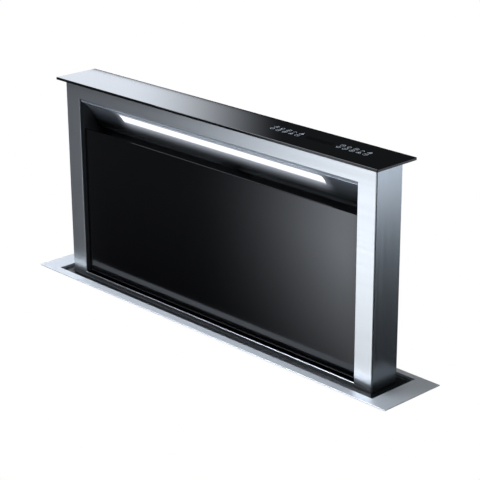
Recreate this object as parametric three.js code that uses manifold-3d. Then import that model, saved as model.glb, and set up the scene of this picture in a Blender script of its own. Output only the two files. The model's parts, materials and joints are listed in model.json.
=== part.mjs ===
// Downdraft vent: a tower that rises out of the worktop, with its lift, blower and electronics below.
// Millimetres, +Z up, +X to the right, the glass front panel faces -Y.
// The origin is on the worktop's surface, under the middle of the tower.
import * as THREE from 'three';
import { mergeVertices } from 'three/addons/utils/BufferGeometryUtils.js';
import Module from 'manifold-3d';

const wasm = await Module();
wasm.setup();

// ---------- sizes ----------

// Worktop flange and the recess that the lid drops into
const gasketThickness = 1;
const gasketInset = 4;
const flangeBorderX = 42.5; // past the opening that the lid drops into
const flangeBorderFront = 17;
const flangeBorderRear = 11.6;
const flangeSheet = 1.5;
const recessGap = 6.5; // all round the lid
const recessDepth = 5;
const traySheet = 1;
const slotGap = 2.5;
const wiperHeight = 6;
const wiperBorder = 6;
const wiperGap = 0.6;

// Tower
const towerWidth = 775;
const towerDepth = 61.8;
const towerRise = 376; // flange top to the lid's underside, tower raised
const towerTail = 150; // what stays below the worktop, tower raised
const towerSheet = 1.2;
const stileWidth = 37.5;
const windowBottom = 2; // above the flange top
const headerHeight = 29.5;
const windowReturn = 3; // depth of the folded edge round the window
const sideReturn = 15;
const cornerGroove = 2.5; // shadow line between the front frame and a cheek
const baseRingHeight = 15;
const baseRingBorderX = 14;
const baseRingBorderY = 7;
const lidOverhangX = 13.5; // past the tower
const lidOverhangFront = 12.6;
const lidOverhangRear = 18;
const lidThickness = 4.9;

// Touch board under the lid
const touchBoardWidth = 290;
const touchBoardDepth = 36;
const touchBoardInset = 6; // from the right liner
const touchBoardThickness = 1.6;

// Reflector and light
const lipSetback = 3.5; // the reflector's lip behind the front face
const lipTop = 6; // above the window's top edge
const lipDrop = 6; // below the window's top edge
const reflectorReach = 37.5; // from the lip back to the lower edge
const reflectorDrop = 54.5;
const reflectorBowY = 26.5; // the curve's control point, from the lip's lower edge
const reflectorBowZ = 15;
const reflectorSheet = 1.2;
const seatGap = 0.3; // between a piece and what carries it, where their faces don't meet
const lightLength = 510;
const lightStartShare = 0.2; // where the light starts and ends along the reflector's curve
const lightEndShare = 0.62;
const diffuserGap = 0.35;
const lightBoardThickness = 1.6;

// Glass front panel
const glassSetback = 8;
const glassThickness = 4;
const glassSideGap = 3;
const glassBottomGap = 3.5;
const inletHeight = 58; // air inlet between the glass and the window's top edge
const carrierDepth = 5;
const carrierBorder = 26;
const carrierInset = 12;
const carrierTopInset = 8;
const hingeRodRadius = 2.5;
const hingeRodInset = 5; // rod axis above the glass's lower edge
const hingeEarWidth = 12;
const hingeEarInset = 30;
const earWall = 2.4;
const carrierRodGap = 1;
const linerSheet = 1.5;
const linerGap = 0.4; // window edge to the black liner beside it
const rodEndReach = 2; // past the liner

// Grease filters and their rails
const filterThickness = 9;
const filterBorder = 14;
const filterMeshThickness = 5;
const filterSetback = 13; // behind the glass
const filterGapX = 2;
const filterSideGap = 3;
const filterBottom = 13; // above the flange top
const filterHeight = 250;
const filterHandleWidth = 60;
const filterHandleHeight = 10;
const filterHandleDepth = 1.4;
const railSheet = 1.2;
const railLeg = 12;
const railClearance = 0.8;
const catchWidth = 30;
const catchHeight = 10;

// Housing below the worktop
const housingDepthBelow = 690;
const housingBorderX = 19.5; // past the recess tray, for the lift
const housingSheet = 1;
const housingTrayGap = 0.3;
const bracketSheet = 2.5;
const bracketHeight = 90;
const bracketWidth = 45;
const bracketFoot = 50;
const bracketInset = 12; // from the housing's side
const boltHoleRadius = 3.5;
const boltHoleInset = 15; // from the foot's free end

// Screw lift
const screwRadius = 6;
const screwInset = 20.5; // housing wall to the screw's axis
const screwTopBelow = 100;
const screwBottomGap = 5;
const runningGap = 0.3; // radial gap of every shaft in its bore
const bearingHeight = 12;
const bearingWidth = 28;
const nutRadius = 12;
const nutHeight = 18;
const sliderWeb = 10;
const bearingBelowTop = 3;
const carriageSheet = 4;
const carriageLeafHeight = 80;
const carriageLeafWidth = 52;
const carriageNutReach = 14.5; // past the screw's axis
const shoeReach = 12; // how far a shoe stands out of its rail
const guideRailWidth = 22;
const guideRailDepth = 18;
const guideRailSheet = 2;
const guideRailY = 26;
const guideRailTopBelow = 40;
const guideRailLength = 530;
const shoeHeight = 60;
const shoeGap = 0.5;
const pulleyRadius = 14;
const pulleyHeight = 12;
const pulleyFlange = 2.6;
const pulleyFlangeHeight = 1.6;
const pulleyBaseGap = 13;
const beltThickness = 1.5;
const beltGap = 0.3;
const gearboxWidth = 34;
const gearboxHeight = 40;
const gearboxAboveBase = 52;
const liftMotorRadius = 18;
const liftMotorLength = 110;

// Blower
const casingWidth = 460;
const casingHeight = 280;
const casingDepth = 175;
const casingSheet = 1;
const casingAboveBase = 10;
const voluteX = 55; // axis of the impeller, from the casing's middle
const voluteStartRadius = 105;
const voluteEndRadius = 145;
const voluteWall = 2.5;
const voluteDepth = 95;
const voluteAxisAbove = 130; // above the casing's floor
const neckFloor = 35; // above the impeller's axis
const neckEndGap = 38;
const inletRadius = 78;
const impellerRadius = 94;
const impellerInnerRadius = 74;
const impellerHubRadius = 16;
const impellerPlate = 2;
const impellerEndGap = 6;
const bladeCount = 28;
const bladeThickness = 1.4;
const bladeSweep = 22; // degrees, forward-curved
const bladeInset = 0.8; // from the rings' edges
const blowerMotorRadius = 52;
const blowerMotorLength = 40;
const blowerShaftRadius = 4;
const blowerHubDepth = 20;
const shaftPlateHole = 9;

// Duct outlet and its flaps
const ductRadius = 75;
const collarWall = 1.6;
const collarLength = 75;
const collarFlange = 9;
const collarFlangeSheet = 1.5;
const collarDropZ = 26; // collar axis below the neck's middle
const flapSeatWidth = 4;
const flapThickness = 1.2;
const flapEdgeGap = 1;
const flapPinRadius = 2;
const knuckleWall = 0.9;
const knuckleGap = 1; // between the two flaps' knuckles
const knuckleEndGap = 2;

// Electronics
const boxWidth = 140;
const boxHeight = 160;
const boxDepth = 40;
const boxWall = 2;
const boxX = -330;
const boxTopBelow = 170;
const coverSheet = 1.5;
const powerBoardThickness = 1.6;
const powerBoardMargin = 8;
const standoffHeight = 6;
const standoffRadius = 3;
const socketWidth = 28;
const socketDepth = 20;
const socketHeight = 22;
const socketWall = 2.5;

// How finely round shapes are faceted
const pipeSides = 48;
const circleSides = 32;
const shaftSides = 24;
const smallSides = 16;
const curveSteps = 14;

const past = 1; // how far a cutting shape runs past a face, and a joined one into its neighbour

// ---------- shape helpers ----------

// A box between [low, high] along each axis
function block(x, y, z) {
  const box = new THREE.BoxGeometry();
  const corners = box.attributes.position;
  const end = (value) => (value > 0 ? 1 : 0);
  for (let i = 0; i < corners.count; i++) {
    const [endX, endY, endZ] = [corners.getX(i), corners.getY(i), corners.getZ(i)].map(end);
    corners.setXYZ(i, x[endX], y[endY], z[endZ]);
  }
  return box;
}

// A range of the given length round a middle value
const around = (middle, length) => [middle - length / 2, middle + length / 2];
// The same range on the other side of zero
const mirrored = ([low, high]) => [-high, -low];
// A range measured outwards on the left (-1) or the right (1)
const towards = (side, range) => (side > 0 ? range : mirrored(range));
const grown = ([low, high], by) => [low - by, high + by];

// An outline extruded along an axis: drawn in (y, z) for 'x', in (x, z) for 'y' and in (x, y) for 'z'
function prism(axis, [from, to], outline, curveSegments = 12) {
  const made = new THREE.ExtrudeGeometry(outline, { depth: 1, bevelEnabled: false, curveSegments });
  const points = made.attributes.position;
  for (let i = 0; i < points.count; i++) {
    const [a, b] = [points.getX(i), points.getY(i)];
    const first = points.getZ(i) < 0.5;
    if (axis === 'x') points.setXYZ(i, first ? from : to, a, b);
    if (axis === 'y') points.setXYZ(i, a, first ? to : from, b);
    if (axis === 'z') points.setXYZ(i, a, b, first ? from : to);
  }
  return made;
}

// A cylinder along an axis, through the point (a, b) of the plane across it, in prism's order
function rod(axis, radius, [from, to], [a, b], sides = circleSides) {
  const round = new THREE.Shape().absarc(a, b, radius, 0, 2 * Math.PI);
  return prism(axis, [from, to], round, sides / 2);
}

function solid(geometry) {
  const bare = geometry.clone();
  bare.deleteAttribute('normal');
  bare.deleteAttribute('uv');
  const merged = mergeVertices(bare, 1e-4);
  const mesh = new wasm.Mesh({
    numProp: 3,
    vertProperties: merged.attributes.position.array,
    triVerts: new Uint32Array(merged.index.array),
  });
  return new wasm.Manifold(mesh);
}

function geometryOf(manifold) {
  const mesh = manifold.getMesh();
  const made = new THREE.BufferGeometry();
  made.setAttribute('position', new THREE.BufferAttribute(mesh.vertProperties, 3));
  made.setIndex(new THREE.BufferAttribute(mesh.triVerts, 1));
  made.computeVertexNormals();
  return made;
}

const join = (...shapes) => geometryOf(shapes.map(solid).reduce((whole, next) => whole.add(next)));
const cut = (shape, ...tools) =>
  geometryOf(tools.map(solid).reduce((left, tool) => left.subtract(tool), solid(shape)));

// A flat ring between two rectangles
const frameRing = (outerX, outerY, innerX, innerY, z) =>
  cut(block(outerX, outerY, z), block(innerX, innerY, grown(z, past)));

// ---------- finishes ----------

const finish = (color, roughness, metalness) =>
  new THREE.MeshStandardMaterial({ color, roughness, metalness });
const brushedStainless = finish('#b9bdc1', 0.3, 1);
const polishedStainless = finish('#c9ccd0', 0.08, 1);
const galvanised = finish('#9fa4a6', 0.45, 1);
const anodised = finish('#8d9196', 0.35, 1);
const blackGlass = finish('#050506', 0.04, 0);
const blackRubber = finish('#141414', 0.8, 0);
const blackPlastic = finish('#1c1d1f', 0.5, 0);
const whiteDiffuser = finish('#f6f8ff', 0.4, 0);
const boardGreen = finish('#1d4a31', 0.55, 0);
const blackPaint = finish('#18191b', 0.4, 0);
const blackEnamel = finish('#08090a', 0.06, 0);
const aluminiumMesh = finish('#a5a9ad', 0.4, 1);
const acetalWhite = finish('#e4e2da', 0.45, 0);

// ---------- groups: one for each body that moves ----------

function bodyGroup(parent, x = 0, y = 0, z = 0) {
  const group = new THREE.Group();
  group.position.set(x, y, z);
  parent.add(group);
  return group;
}

function add(group, name, geometry, material) {
  const mesh = new THREE.Mesh(geometry, material);
  mesh.name = name;
  group.add(mesh);
}

const sides = [
  { side: -1, label: 'left' },
  { side: 1, label: 'right' },
];

const vent = new THREE.Group();
const fixed = bodyGroup(vent);

// ---------- worktop flange, recess and housing ----------

const flangeZ = [gasketThickness, gasketThickness + flangeSheet];
const flangeTop = flangeZ[1];
const towerX = around(0, towerWidth);
const towerY = around(0, towerDepth);
const lidX = grown(towerX, lidOverhangX);
const lidY = [towerY[0] - lidOverhangFront, towerY[1] + lidOverhangRear];
const openingX = grown(lidX, recessGap);
const openingY = grown(lidY, recessGap);
const trayX = grown(openingX, traySheet);
const trayY = grown(openingY, traySheet);
const trayFloorZ = [flangeTop - recessDepth - traySheet, flangeTop - recessDepth];
const housingX = grown(trayX, housingBorderX);
const housingY = grown(trayY, housingTrayGap);
const housingOuterX = grown(housingX, housingSheet);
const housingOuterY = grown(housingY, housingSheet);
const housingBottom = -housingDepthBelow;

function makeWorktopFrame() {
  const flangeX = grown(openingX, flangeBorderX);
  const flangeY = [openingY[0] - flangeBorderFront, openingY[1] + flangeBorderRear];
  const plate = frameRing(flangeX, flangeY, openingX, openingY, flangeZ);
  const foldedEdge = frameRing(trayX, trayY, openingX, openingY, [trayFloorZ[1], flangeTop]);
  add(fixed, 'worktop_flange', join(plate, foldedEdge), brushedStainless);
  const gasketX = grown(flangeX, -gasketInset);
  const gasketY = grown(flangeY, -gasketInset);
  const innerX = grown(housingOuterX, housingTrayGap);
  const innerY = grown(housingOuterY, housingTrayGap);
  const gasket = frameRing(gasketX, gasketY, innerX, innerY, [0, gasketThickness]);
  add(fixed, 'worktop_gasket', gasket, blackRubber);

  const tray = frameRing(trayX, trayY, grown(towerX, slotGap), grown(towerY, slotGap), trayFloorZ);
  add(fixed, 'lid_recess_tray', tray, blackEnamel);
  const wiperOuter = slotGap + wiperBorder;
  const wiper = frameRing(
    grown(towerX, wiperOuter),
    grown(towerY, wiperOuter),
    grown(towerX, wiperGap),
    grown(towerY, wiperGap),
    [trayFloorZ[0] - wiperHeight, trayFloorZ[0]],
  );
  add(fixed, 'tower_wiper_seal', wiper, blackRubber);
}

// Blower casing: a sheet box on the housing's front, low down
const casingX = around(0, casingWidth);
const casingY = [housingOuterY[0] - casingDepth, housingOuterY[0]];
const casingBottom = housingBottom + casingAboveBase;
const casingZ = [casingBottom, casingBottom + casingHeight];
const blowerX = voluteX;
const blowerZ = casingBottom + casingSheet + voluteAxisAbove;

function makeHousing() {
  const wallZ = [housingBottom, flangeZ[0]];
  const front = cut(
    block(housingOuterX, [housingOuterY[0], housingY[0]], wallZ),
    rod('y', inletRadius, grown([housingOuterY[0], housingY[0]], past), [blowerX, blowerZ], pipeSides),
  );
  add(fixed, 'housing_front', front, galvanised);
  add(fixed, 'housing_rear', block(housingOuterX, [housingY[1], housingOuterY[1]], wallZ), galvanised);
  const baseZ = [housingBottom, housingBottom + housingSheet];
  add(fixed, 'housing_base', block(housingX, housingY, baseZ), galvanised);
  for (const { side, label } of sides) {
    const wallX = towards(side, [housingX[1], housingOuterX[1]]);
    add(fixed, `housing_${label}_side`, block(wallX, housingY, wallZ), galvanised);

    // Foot bracket: a leaf on the front panel and a foot that is screwed to the cabinet's floor
    const bracketEnd = housingOuterX[1] - bracketInset;
    const bracketX = towards(side, [bracketEnd - bracketWidth, bracketEnd]);
    const footZ = [housingBottom - bracketSheet, housingBottom];
    const footY = [housingOuterY[0] - bracketFoot, housingOuterY[0]];
    const leafY = [housingOuterY[0] - bracketSheet, housingOuterY[0]];
    const leaf = block(bracketX, leafY, [footZ[0], housingBottom + bracketHeight]);
    const foot = block(bracketX, footY, footZ);
    const holeAt = [side * (bracketEnd - bracketWidth / 2), footY[0] + boltHoleInset];
    const hole = rod('z', boltHoleRadius, grown(footZ, past), holeAt, smallSides);
    add(fixed, `foot_bracket_${label}`, cut(join(leaf, foot), hole), galvanised);
  }
}
makeWorktopFrame();
makeHousing();

// ---------- tower: z = 0 of this group is the flange's top ----------

const tower = bodyGroup(vent, 0, 0, flangeTop);
const shellX = grown(towerX, -towerSheet);
const shellY = grown(towerY, -towerSheet);
const shellZ = [-towerTail, towerRise];
const plateX = grown(shellX, -towerSheet); // between the front frame's side returns
const windowX = grown(towerX, -stileWidth);
const windowZ = [windowBottom, towerRise - headerHeight];
const linerX = [windowX[1] + linerGap, windowX[1] + linerGap + linerSheet];
const betweenLiners = around(0, 2 * (linerX[0] - seatGap));
const linerY = [towerY[0] + windowReturn, shellY[1]];
const topPlateZ = [towerRise - towerSheet, towerRise];

function makeShell() {
  const sheet = block(towerX, [towerY[0], shellY[0]], shellZ);
  const edgeY = [towerY[0], towerY[0] + windowReturn];
  const windowEdge = block(grown(windowX, towerSheet), edgeY, grown(windowZ, towerSheet));
  const returnY = [towerY[0] + towerSheet / 2, shellY[0] + sideReturn];
  const returns = sides.map(({ side }) => block(towards(side, [plateX[1], shellX[1]]), returnY, shellZ));
  const window = block(windowX, grown(edgeY, past), windowZ);
  add(tower, 'tower_front_frame', cut(join(sheet, windowEdge, ...returns), window), brushedStainless);

  const cheekY = [shellY[0] + cornerGroove, towerY[1]];
  for (const { side, label } of sides) {
    const cheekX = towards(side, [shellX[1], towerX[1]]);
    add(tower, `tower_${label}_cheek`, block(cheekX, cheekY, shellZ), brushedStainless);
    // Black wall beside the window: it carries the hinge rod, the filter rails and the reflector
    const boreX = towards(side, grown(linerX, past));
    const bore = rod('x', hingeRodRadius + runningGap, boreX, hingeAxis, smallSides);
    const liner = block(towards(side, linerX), linerY, [windowZ[0], topPlateZ[0]]);
    add(tower, `tower_${label}_liner`, cut(liner, bore), blackPaint);
  }
  add(tower, 'tower_back_panel', block(shellX, [shellY[1], towerY[1]], shellZ), brushedStainless);
  const ringZ = [shellZ[0], shellZ[0] + baseRingHeight];
  const ringInnerX = grown(plateX, -baseRingBorderX);
  const ringInnerY = grown(shellY, -baseRingBorderY);
  add(tower, 'tower_base_ring', frameRing(plateX, shellY, ringInnerX, ringInnerY, ringZ), galvanised);
}

function makeLid() {
  const boardEnd = linerX[0] - touchBoardInset;
  const boardX = [boardEnd - touchBoardWidth, boardEnd];
  const boardY = around(0, touchBoardDepth);
  const pocket = block(grown(boardX, seatGap), grown(boardY, seatGap), grown(topPlateZ, past));
  add(tower, 'tower_top_plate', cut(block(plateX, shellY, topPlateZ), pocket), galvanised);
  const boardZ = [towerRise - touchBoardThickness, towerRise];
  add(tower, 'touch_board', block(boardX, boardY, boardZ), boardGreen);
  const lidZ = [towerRise, towerRise + lidThickness];
  add(tower, 'lid_glass', block(lidX, lidY, lidZ), blackGlass);
}

// The reflector's concave front, as seen along the tower: from the lip's lower edge back and down
const lipY = [towerY[0] + lipSetback, towerY[0] + lipSetback + reflectorSheet];
const lipZ = [windowZ[1] - lipDrop, windowZ[1] + lipTop];
const reflectorCurve = new THREE.QuadraticBezierCurve(
  new THREE.Vector2(lipY[0], lipZ[0]),
  new THREE.Vector2(lipY[0] + reflectorBowY, lipZ[0] - reflectorBowZ),
  new THREE.Vector2(lipY[0] + reflectorReach, lipZ[0] - reflectorDrop),
);

// The outline of a sheet that follows the reflector, between two depths behind its front
function curvedSheet([start, end], [near, far]) {
  const behind = (t, depth) => {
    const point = reflectorCurve.getPoint(t);
    const along = reflectorCurve.getTangent(t);
    return new THREE.Vector2(point.x - along.y * depth, point.y + along.x * depth);
  };
  const steps = Math.ceil(curveSteps * (end - start));
  const stations = Array.from({ length: steps + 1 }, (_, i) => start + ((end - start) * i) / steps);
  const front = stations.map((t) => behind(t, near));
  const back = stations.map((t) => behind(t, far)).reverse();
  return new THREE.Shape([...front, ...back]);
}

function makeLight() {
  const lip = block(betweenLiners, lipY, lipZ);
  const sheet = prism('x', betweenLiners, curvedSheet([0, 1], [0, reflectorSheet]));
  const lightX = around(0, lightLength);
  const slack = diffuserGap / reflectorDrop;
  const slotSpan = [lightStartShare - slack, lightEndShare + slack];
  const slotOutline = curvedSheet(slotSpan, [-reflectorSheet, 2 * reflectorSheet]);
  const slot = prism('x', grown(lightX, diffuserGap), slotOutline);
  add(tower, 'light_reflector', cut(join(lip, sheet), slot), anodised);
  const span = [lightStartShare, lightEndShare];
  const diffuser = prism('x', lightX, curvedSheet(span, [0, reflectorSheet]));
  add(tower, 'light_diffuser', diffuser, whiteDiffuser);
  const boardFront = reflectorSheet + seatGap;
  const boardOutline = curvedSheet(span, [boardFront, boardFront + lightBoardThickness]);
  add(tower, 'light_board', prism('x', lightX, boardOutline), boardGreen);
}

// Grease filters, standing in a channel below and held by one above
const glassY = [towerY[0] + glassSetback, towerY[0] + glassSetback + glassThickness];
const filterY = [glassY[1] + filterSetback, glassY[1] + filterSetback + filterThickness];
const filterZ = [filterBottom, filterBottom + filterHeight];
const carrierY = [glassY[1], glassY[1] + carrierDepth];

function makeFilters() {
  const innerX = [filterGapX / 2, betweenLiners[1] - filterSideGap];
  for (const { side, label } of sides) {
    const x = towards(side, innerX);
    const meshX = grown(x, -filterBorder);
    const meshZ = grown(filterZ, -filterBorder);
    const dip = (filterThickness - filterMeshThickness) / 2;
    const frontDip = block(meshX, [filterY[0] - past, filterY[0] + dip], meshZ);
    const rearDip = block(meshX, [filterY[1] - dip, filterY[1] + past], meshZ);
    const handleX = around((x[0] + x[1]) / 2, filterHandleWidth);
    const handleY = [filterY[0] - filterHandleDepth, filterY[0] + dip];
    const handleTop = filterZ[1] - filterBorder;
    const handleZ = [handleTop - filterHandleHeight, handleTop + past];
    const frame = cut(block(x, filterY, filterZ), frontDip, rearDip);
    add(tower, `grease_filter_${label}`, join(frame, block(handleX, handleY, handleZ)), aluminiumMesh);
  }
  const channelY = grown(filterY, railClearance);
  const railY = grown(channelY, railSheet);
  const rail = (z, channelZ) =>
    cut(block(betweenLiners, railY, z), block(grown(betweenLiners, past), channelY, channelZ));
  const lowerZ = [filterZ[0] - railSheet, filterZ[0] - railSheet + railLeg];
  add(tower, 'filter_rail_lower', rail(lowerZ, [filterZ[0], lowerZ[1] + past]), galvanised);
  const roof = filterZ[1] + railClearance;
  const upperZ = [roof + railSheet - railLeg, roof + railSheet];
  add(tower, 'filter_rail_upper', rail(upperZ, [upperZ[0] - past, roof]), galvanised);
  // Magnetic catch on the upper rail, just behind the carrier's top border
  const catchY = [carrierY[1] + seatGap, filterY[1]];
  const catchZ = [upperZ[1], upperZ[1] + catchHeight];
  add(tower, 'panel_catch', block(around(0, catchWidth), catchY, catchZ), blackPlastic);
}

// ---------- glass front panel: tilts forward on the rod along its lower edge ----------

const panel = bodyGroup(tower);
const glassX = grown(windowX, -glassSideGap);
const glassZ = [windowZ[0] + glassBottomGap, windowZ[1] - inletHeight];
const hingeAxis = [carrierY[0] + hingeRodRadius + seatGap, glassZ[0] + hingeRodInset]; // (y, z)

function makePanel() {
  add(panel, 'glass_panel', block(glassX, glassY, glassZ), blackGlass);
  const carrierX = grown(glassX, -carrierInset);
  const carrierZ = [hingeAxis[1] + hingeRodRadius + carrierRodGap, glassZ[1] - carrierTopInset];
  const ring = cut(
    block(carrierX, carrierY, carrierZ),
    block(grown(carrierX, -carrierBorder), grown(carrierY, past), grown(carrierZ, -carrierBorder)),
  );
  // Two ears under the ring hold the rod
  const earRadius = hingeRodRadius + runningGap + earWall;
  const earX = [carrierX[1] - hingeEarInset - hingeEarWidth, carrierX[1] - hingeEarInset];
  const earY = [carrierY[0], hingeAxis[0] + earRadius];
  const earZ = [hingeAxis[1] - earRadius, carrierZ[0] + earWall];
  const bore = rod('x', hingeRodRadius + runningGap, grown(carrierX, past), hingeAxis, smallSides);
  const ears = sides.map(({ side }) => cut(block(towards(side, earX), earY, earZ), bore));
  add(panel, 'panel_carrier', join(ring, ...ears), blackPlastic);
  const rodX = around(0, 2 * (linerX[1] + rodEndReach));
  add(panel, 'panel_hinge_rod', rod('x', hingeRodRadius, rodX, hingeAxis, smallSides), polishedStainless);
}

makeShell();
makeLid();
makeLight();
makeFilters();
makePanel();

// ---------- lift: two screws turned together by a belt, one of them by the gearmotor ----------

const screwX = housingX[1] - screwInset;
const screwZ = [housingBottom + housingSheet + screwBottomGap, -screwTopBelow];
const screwBore = screwRadius + runningGap;
const guideRailX = [housingX[1] - guideRailDepth, housingX[1]];
const guideRailYs = [guideRailY, guideRailY + guideRailWidth];
const pulleyBottom = housingBottom + housingSheet + pulleyBaseGap;
const pulleyZ = [pulleyBottom, pulleyBottom + pulleyHeight];

function makeCarriage(side, label) {
  // Angle on the cheek; its ledge carries the slider
  const leafX = [towerX[1], towerX[1] + carriageSheet];
  const leafY = around(0, carriageLeafWidth);
  const leafZ = [shellZ[0], shellZ[0] + carriageLeafHeight];
  const ledgeZ = [shellZ[0], shellZ[0] + carriageSheet];
  const ledgeX = [towerX[1], screwX + carriageNutReach];
  const ledgeY = [leafY[0], guideRailYs[0] - seatGap];
  const shoeX = [guideRailX[0] - shoeReach, guideRailX[1] - guideRailSheet - shoeGap];
  const shoeY = grown(guideRailYs, -guideRailSheet - shoeGap);
  const tongueX = [towerX[1], guideRailX[0] - seatGap];
  const tongueY = [ledgeY[0], shoeY[1]];
  const bore = rod('z', screwBore, grown(ledgeZ, past), [side * screwX, 0], circleSides);
  const ledge = block(towards(side, ledgeX), ledgeY, ledgeZ);
  const tongue = block(towards(side, tongueX), tongueY, ledgeZ);
  const leaf = block(towards(side, leafX), leafY, leafZ);
  add(tower, `carriage_${label}`, cut(join(leaf, ledge, tongue), bore), galvanised);

  // Slider: the lift nut and the guide shoe, moulded in one
  const nutZ = [ledgeZ[1], ledgeZ[1] + nutHeight];
  const shoeZ = [ledgeZ[1], ledgeZ[1] + shoeHeight];
  const nut = rod('z', nutRadius, nutZ, [side * screwX, 0]);
  const web = block(towards(side, [screwX - sliderWeb, screwX]), [0, shoeY[1]], nutZ);
  const shoe = block(towards(side, shoeX), shoeY, shoeZ);
  const nutBore = rod('z', screwBore, grown(nutZ, past), [side * screwX, 0]);
  add(tower, `lift_slider_${label}`, cut(join(nut, web, shoe), nutBore), acetalWhite);
}

function makeGuides(side, label) {
  const railZ = [-guideRailTopBelow - guideRailLength, -guideRailTopBelow];
  const channelX = [guideRailX[0] - past, guideRailX[1] - guideRailSheet];
  const channelY = grown(guideRailYs, -guideRailSheet);
  const rail = cut(
    block(towards(side, guideRailX), guideRailYs, railZ),
    block(towards(side, channelX), channelY, grown(railZ, past)),
  );
  add(fixed, `guide_rail_${label}`, rail, anodised);

  const blockX = [screwX - bearingWidth / 2, housingX[1]];
  const blockY = around(0, bearingWidth);
  const upperTop = screwZ[1] - bearingBelowTop;
  const bearingBlock = (z) =>
    cut(block(towards(side, blockX), blockY, z), rod('z', screwBore, grown(z, past), [side * screwX, 0]));
  add(fixed, `upper_bearing_${label}`, bearingBlock([upperTop - bearingHeight, upperTop]), blackPlastic);
  const lowerBottom = housingBottom + gearboxAboveBase;
  if (side > 0) {
    const lower = bearingBlock([lowerBottom, lowerBottom + bearingHeight]);
    add(fixed, `lower_bearing_${label}`, lower, blackPlastic);
    return;
  }
  // The gearmotor stands in for the left screw's lower bearing
  const gearboxX = [screwX - gearboxWidth / 2, housingX[1]];
  const gearboxY = around(0, gearboxWidth);
  const gearboxZ = [lowerBottom, lowerBottom + gearboxHeight];
  const motorX = [gearboxX[0] - liftMotorLength, gearboxX[0] + past];
  const motorAxis = [0, (gearboxZ[0] + gearboxZ[1]) / 2];
  const body = join(
    block(towards(side, gearboxX), gearboxY, gearboxZ),
    rod('x', liftMotorRadius, towards(side, motorX), motorAxis),
  );
  const bore = rod('z', screwBore, grown(gearboxZ, past), [side * screwX, 0]);
  add(fixed, 'lift_gearmotor', cut(body, bore), blackPaint);
}

function makeScrew(side, label) {
  const screw = bodyGroup(vent, side * screwX);
  add(screw, `lift_screw_${label}`, rod('z', screwRadius, screwZ, [0, 0], shaftSides), polishedStainless);
  const flangeRadius = pulleyRadius + pulleyFlange;
  const pulley = join(
    rod('z', pulleyRadius, pulleyZ, [0, 0]),
    rod('z', flangeRadius, [pulleyZ[0], pulleyZ[0] + pulleyFlangeHeight], [0, 0]),
    rod('z', flangeRadius, [pulleyZ[1] - pulleyFlangeHeight, pulleyZ[1]], [0, 0]),
  );
  const bore = rod('z', screwBore, grown(pulleyZ, past), [0, 0], shaftSides);
  add(screw, `screw_pulley_${label}`, cut(pulley, bore), anodised);
}

function makeBelt() {
  const loop = (radius) => {
    const outline = new THREE.Shape();
    outline.absarc(screwX, 0, radius, -Math.PI / 2, Math.PI / 2);
    outline.absarc(-screwX, 0, radius, Math.PI / 2, (3 * Math.PI) / 2);
    return outline;
  };
  const inner = pulleyRadius + beltGap;
  const outline = loop(inner + beltThickness);
  outline.holes.push(loop(inner));
  const beltZ = grown(pulleyZ, -pulleyFlangeHeight - beltGap);
  add(fixed, 'drive_belt', prism('z', beltZ, outline, circleSides / 2), blackRubber);
}

for (const { side, label } of sides) {
  makeCarriage(side, label);
  makeGuides(side, label);
  makeScrew(side, label);
}
makeBelt();

// ---------- blower: volute on the housing's intake hole, under a casing ----------

const voluteY = [housingOuterY[0] - voluteDepth, housingOuterY[0]];
const voluteInnerY = grown(voluteY, -voluteWall);
const neckEndX = casingX[0] + neckEndGap;

// The volute's outline round the impeller's axis, grown by the wall's thickness for its outside
function voluteOutline(wall, neckEnd) {
  const floor = neckFloor - wall;
  const first = Math.PI - Math.asin(floor / (voluteStartRadius + wall));
  const last = 2.5 * Math.PI;
  const points = [];
  for (let i = 0; i <= circleSides; i++) {
    const angle = first + ((last - first) * i) / circleSides;
    const radius = wall + THREE.MathUtils.lerp(voluteStartRadius, voluteEndRadius, i / circleSides);
    points.push(new THREE.Vector2(blowerX + radius * Math.cos(angle), blowerZ + radius * Math.sin(angle)));
  }
  points.push(new THREE.Vector2(neckEnd, blowerZ + voluteEndRadius + wall));
  points.push(new THREE.Vector2(neckEnd, blowerZ + floor));
  return new THREE.Shape(points);
}

function makeVolute() {
  const outside = prism('y', voluteY, voluteOutline(voluteWall, neckEndX));
  const inside = prism('y', voluteInnerY, voluteOutline(0, neckEndX - past));
  const axis = [blowerX, blowerZ];
  const inlet = rod('y', inletRadius, [voluteInnerY[1] - past, voluteY[1] + past], axis, pipeSides);
  const shaftHole = rod('y', shaftPlateHole, [voluteY[0] - past, voluteInnerY[0] + past], axis);
  add(fixed, 'blower_volute', cut(outside, inside, inlet, shaftHole), blackPlastic);
}

const collarZ = blowerZ + (neckFloor + voluteEndRadius) / 2 - collarDropZ;
const collarY = (casingY[0] + casingY[1]) / 2;
const collarAxis = [collarY, collarZ];
const ductInner = ductRadius - collarWall;
const seatHoleRadius = ductInner - flapSeatWidth;
const seatX = [casingX[0] - collarFlangeSheet, casingX[0]];

function makeCasing() {
  const inside = block(
    grown(casingX, -casingSheet),
    [casingY[0] + casingSheet, casingY[1] + past],
    grown(casingZ, -casingSheet),
  );
  const outletX = [casingX[0] - past, casingX[0] + casingSheet + past];
  const outlet = rod('x', seatHoleRadius, outletX, collarAxis, pipeSides);
  add(fixed, 'blower_casing', cut(block(casingX, casingY, casingZ), inside, outlet), galvanised);
}

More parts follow.
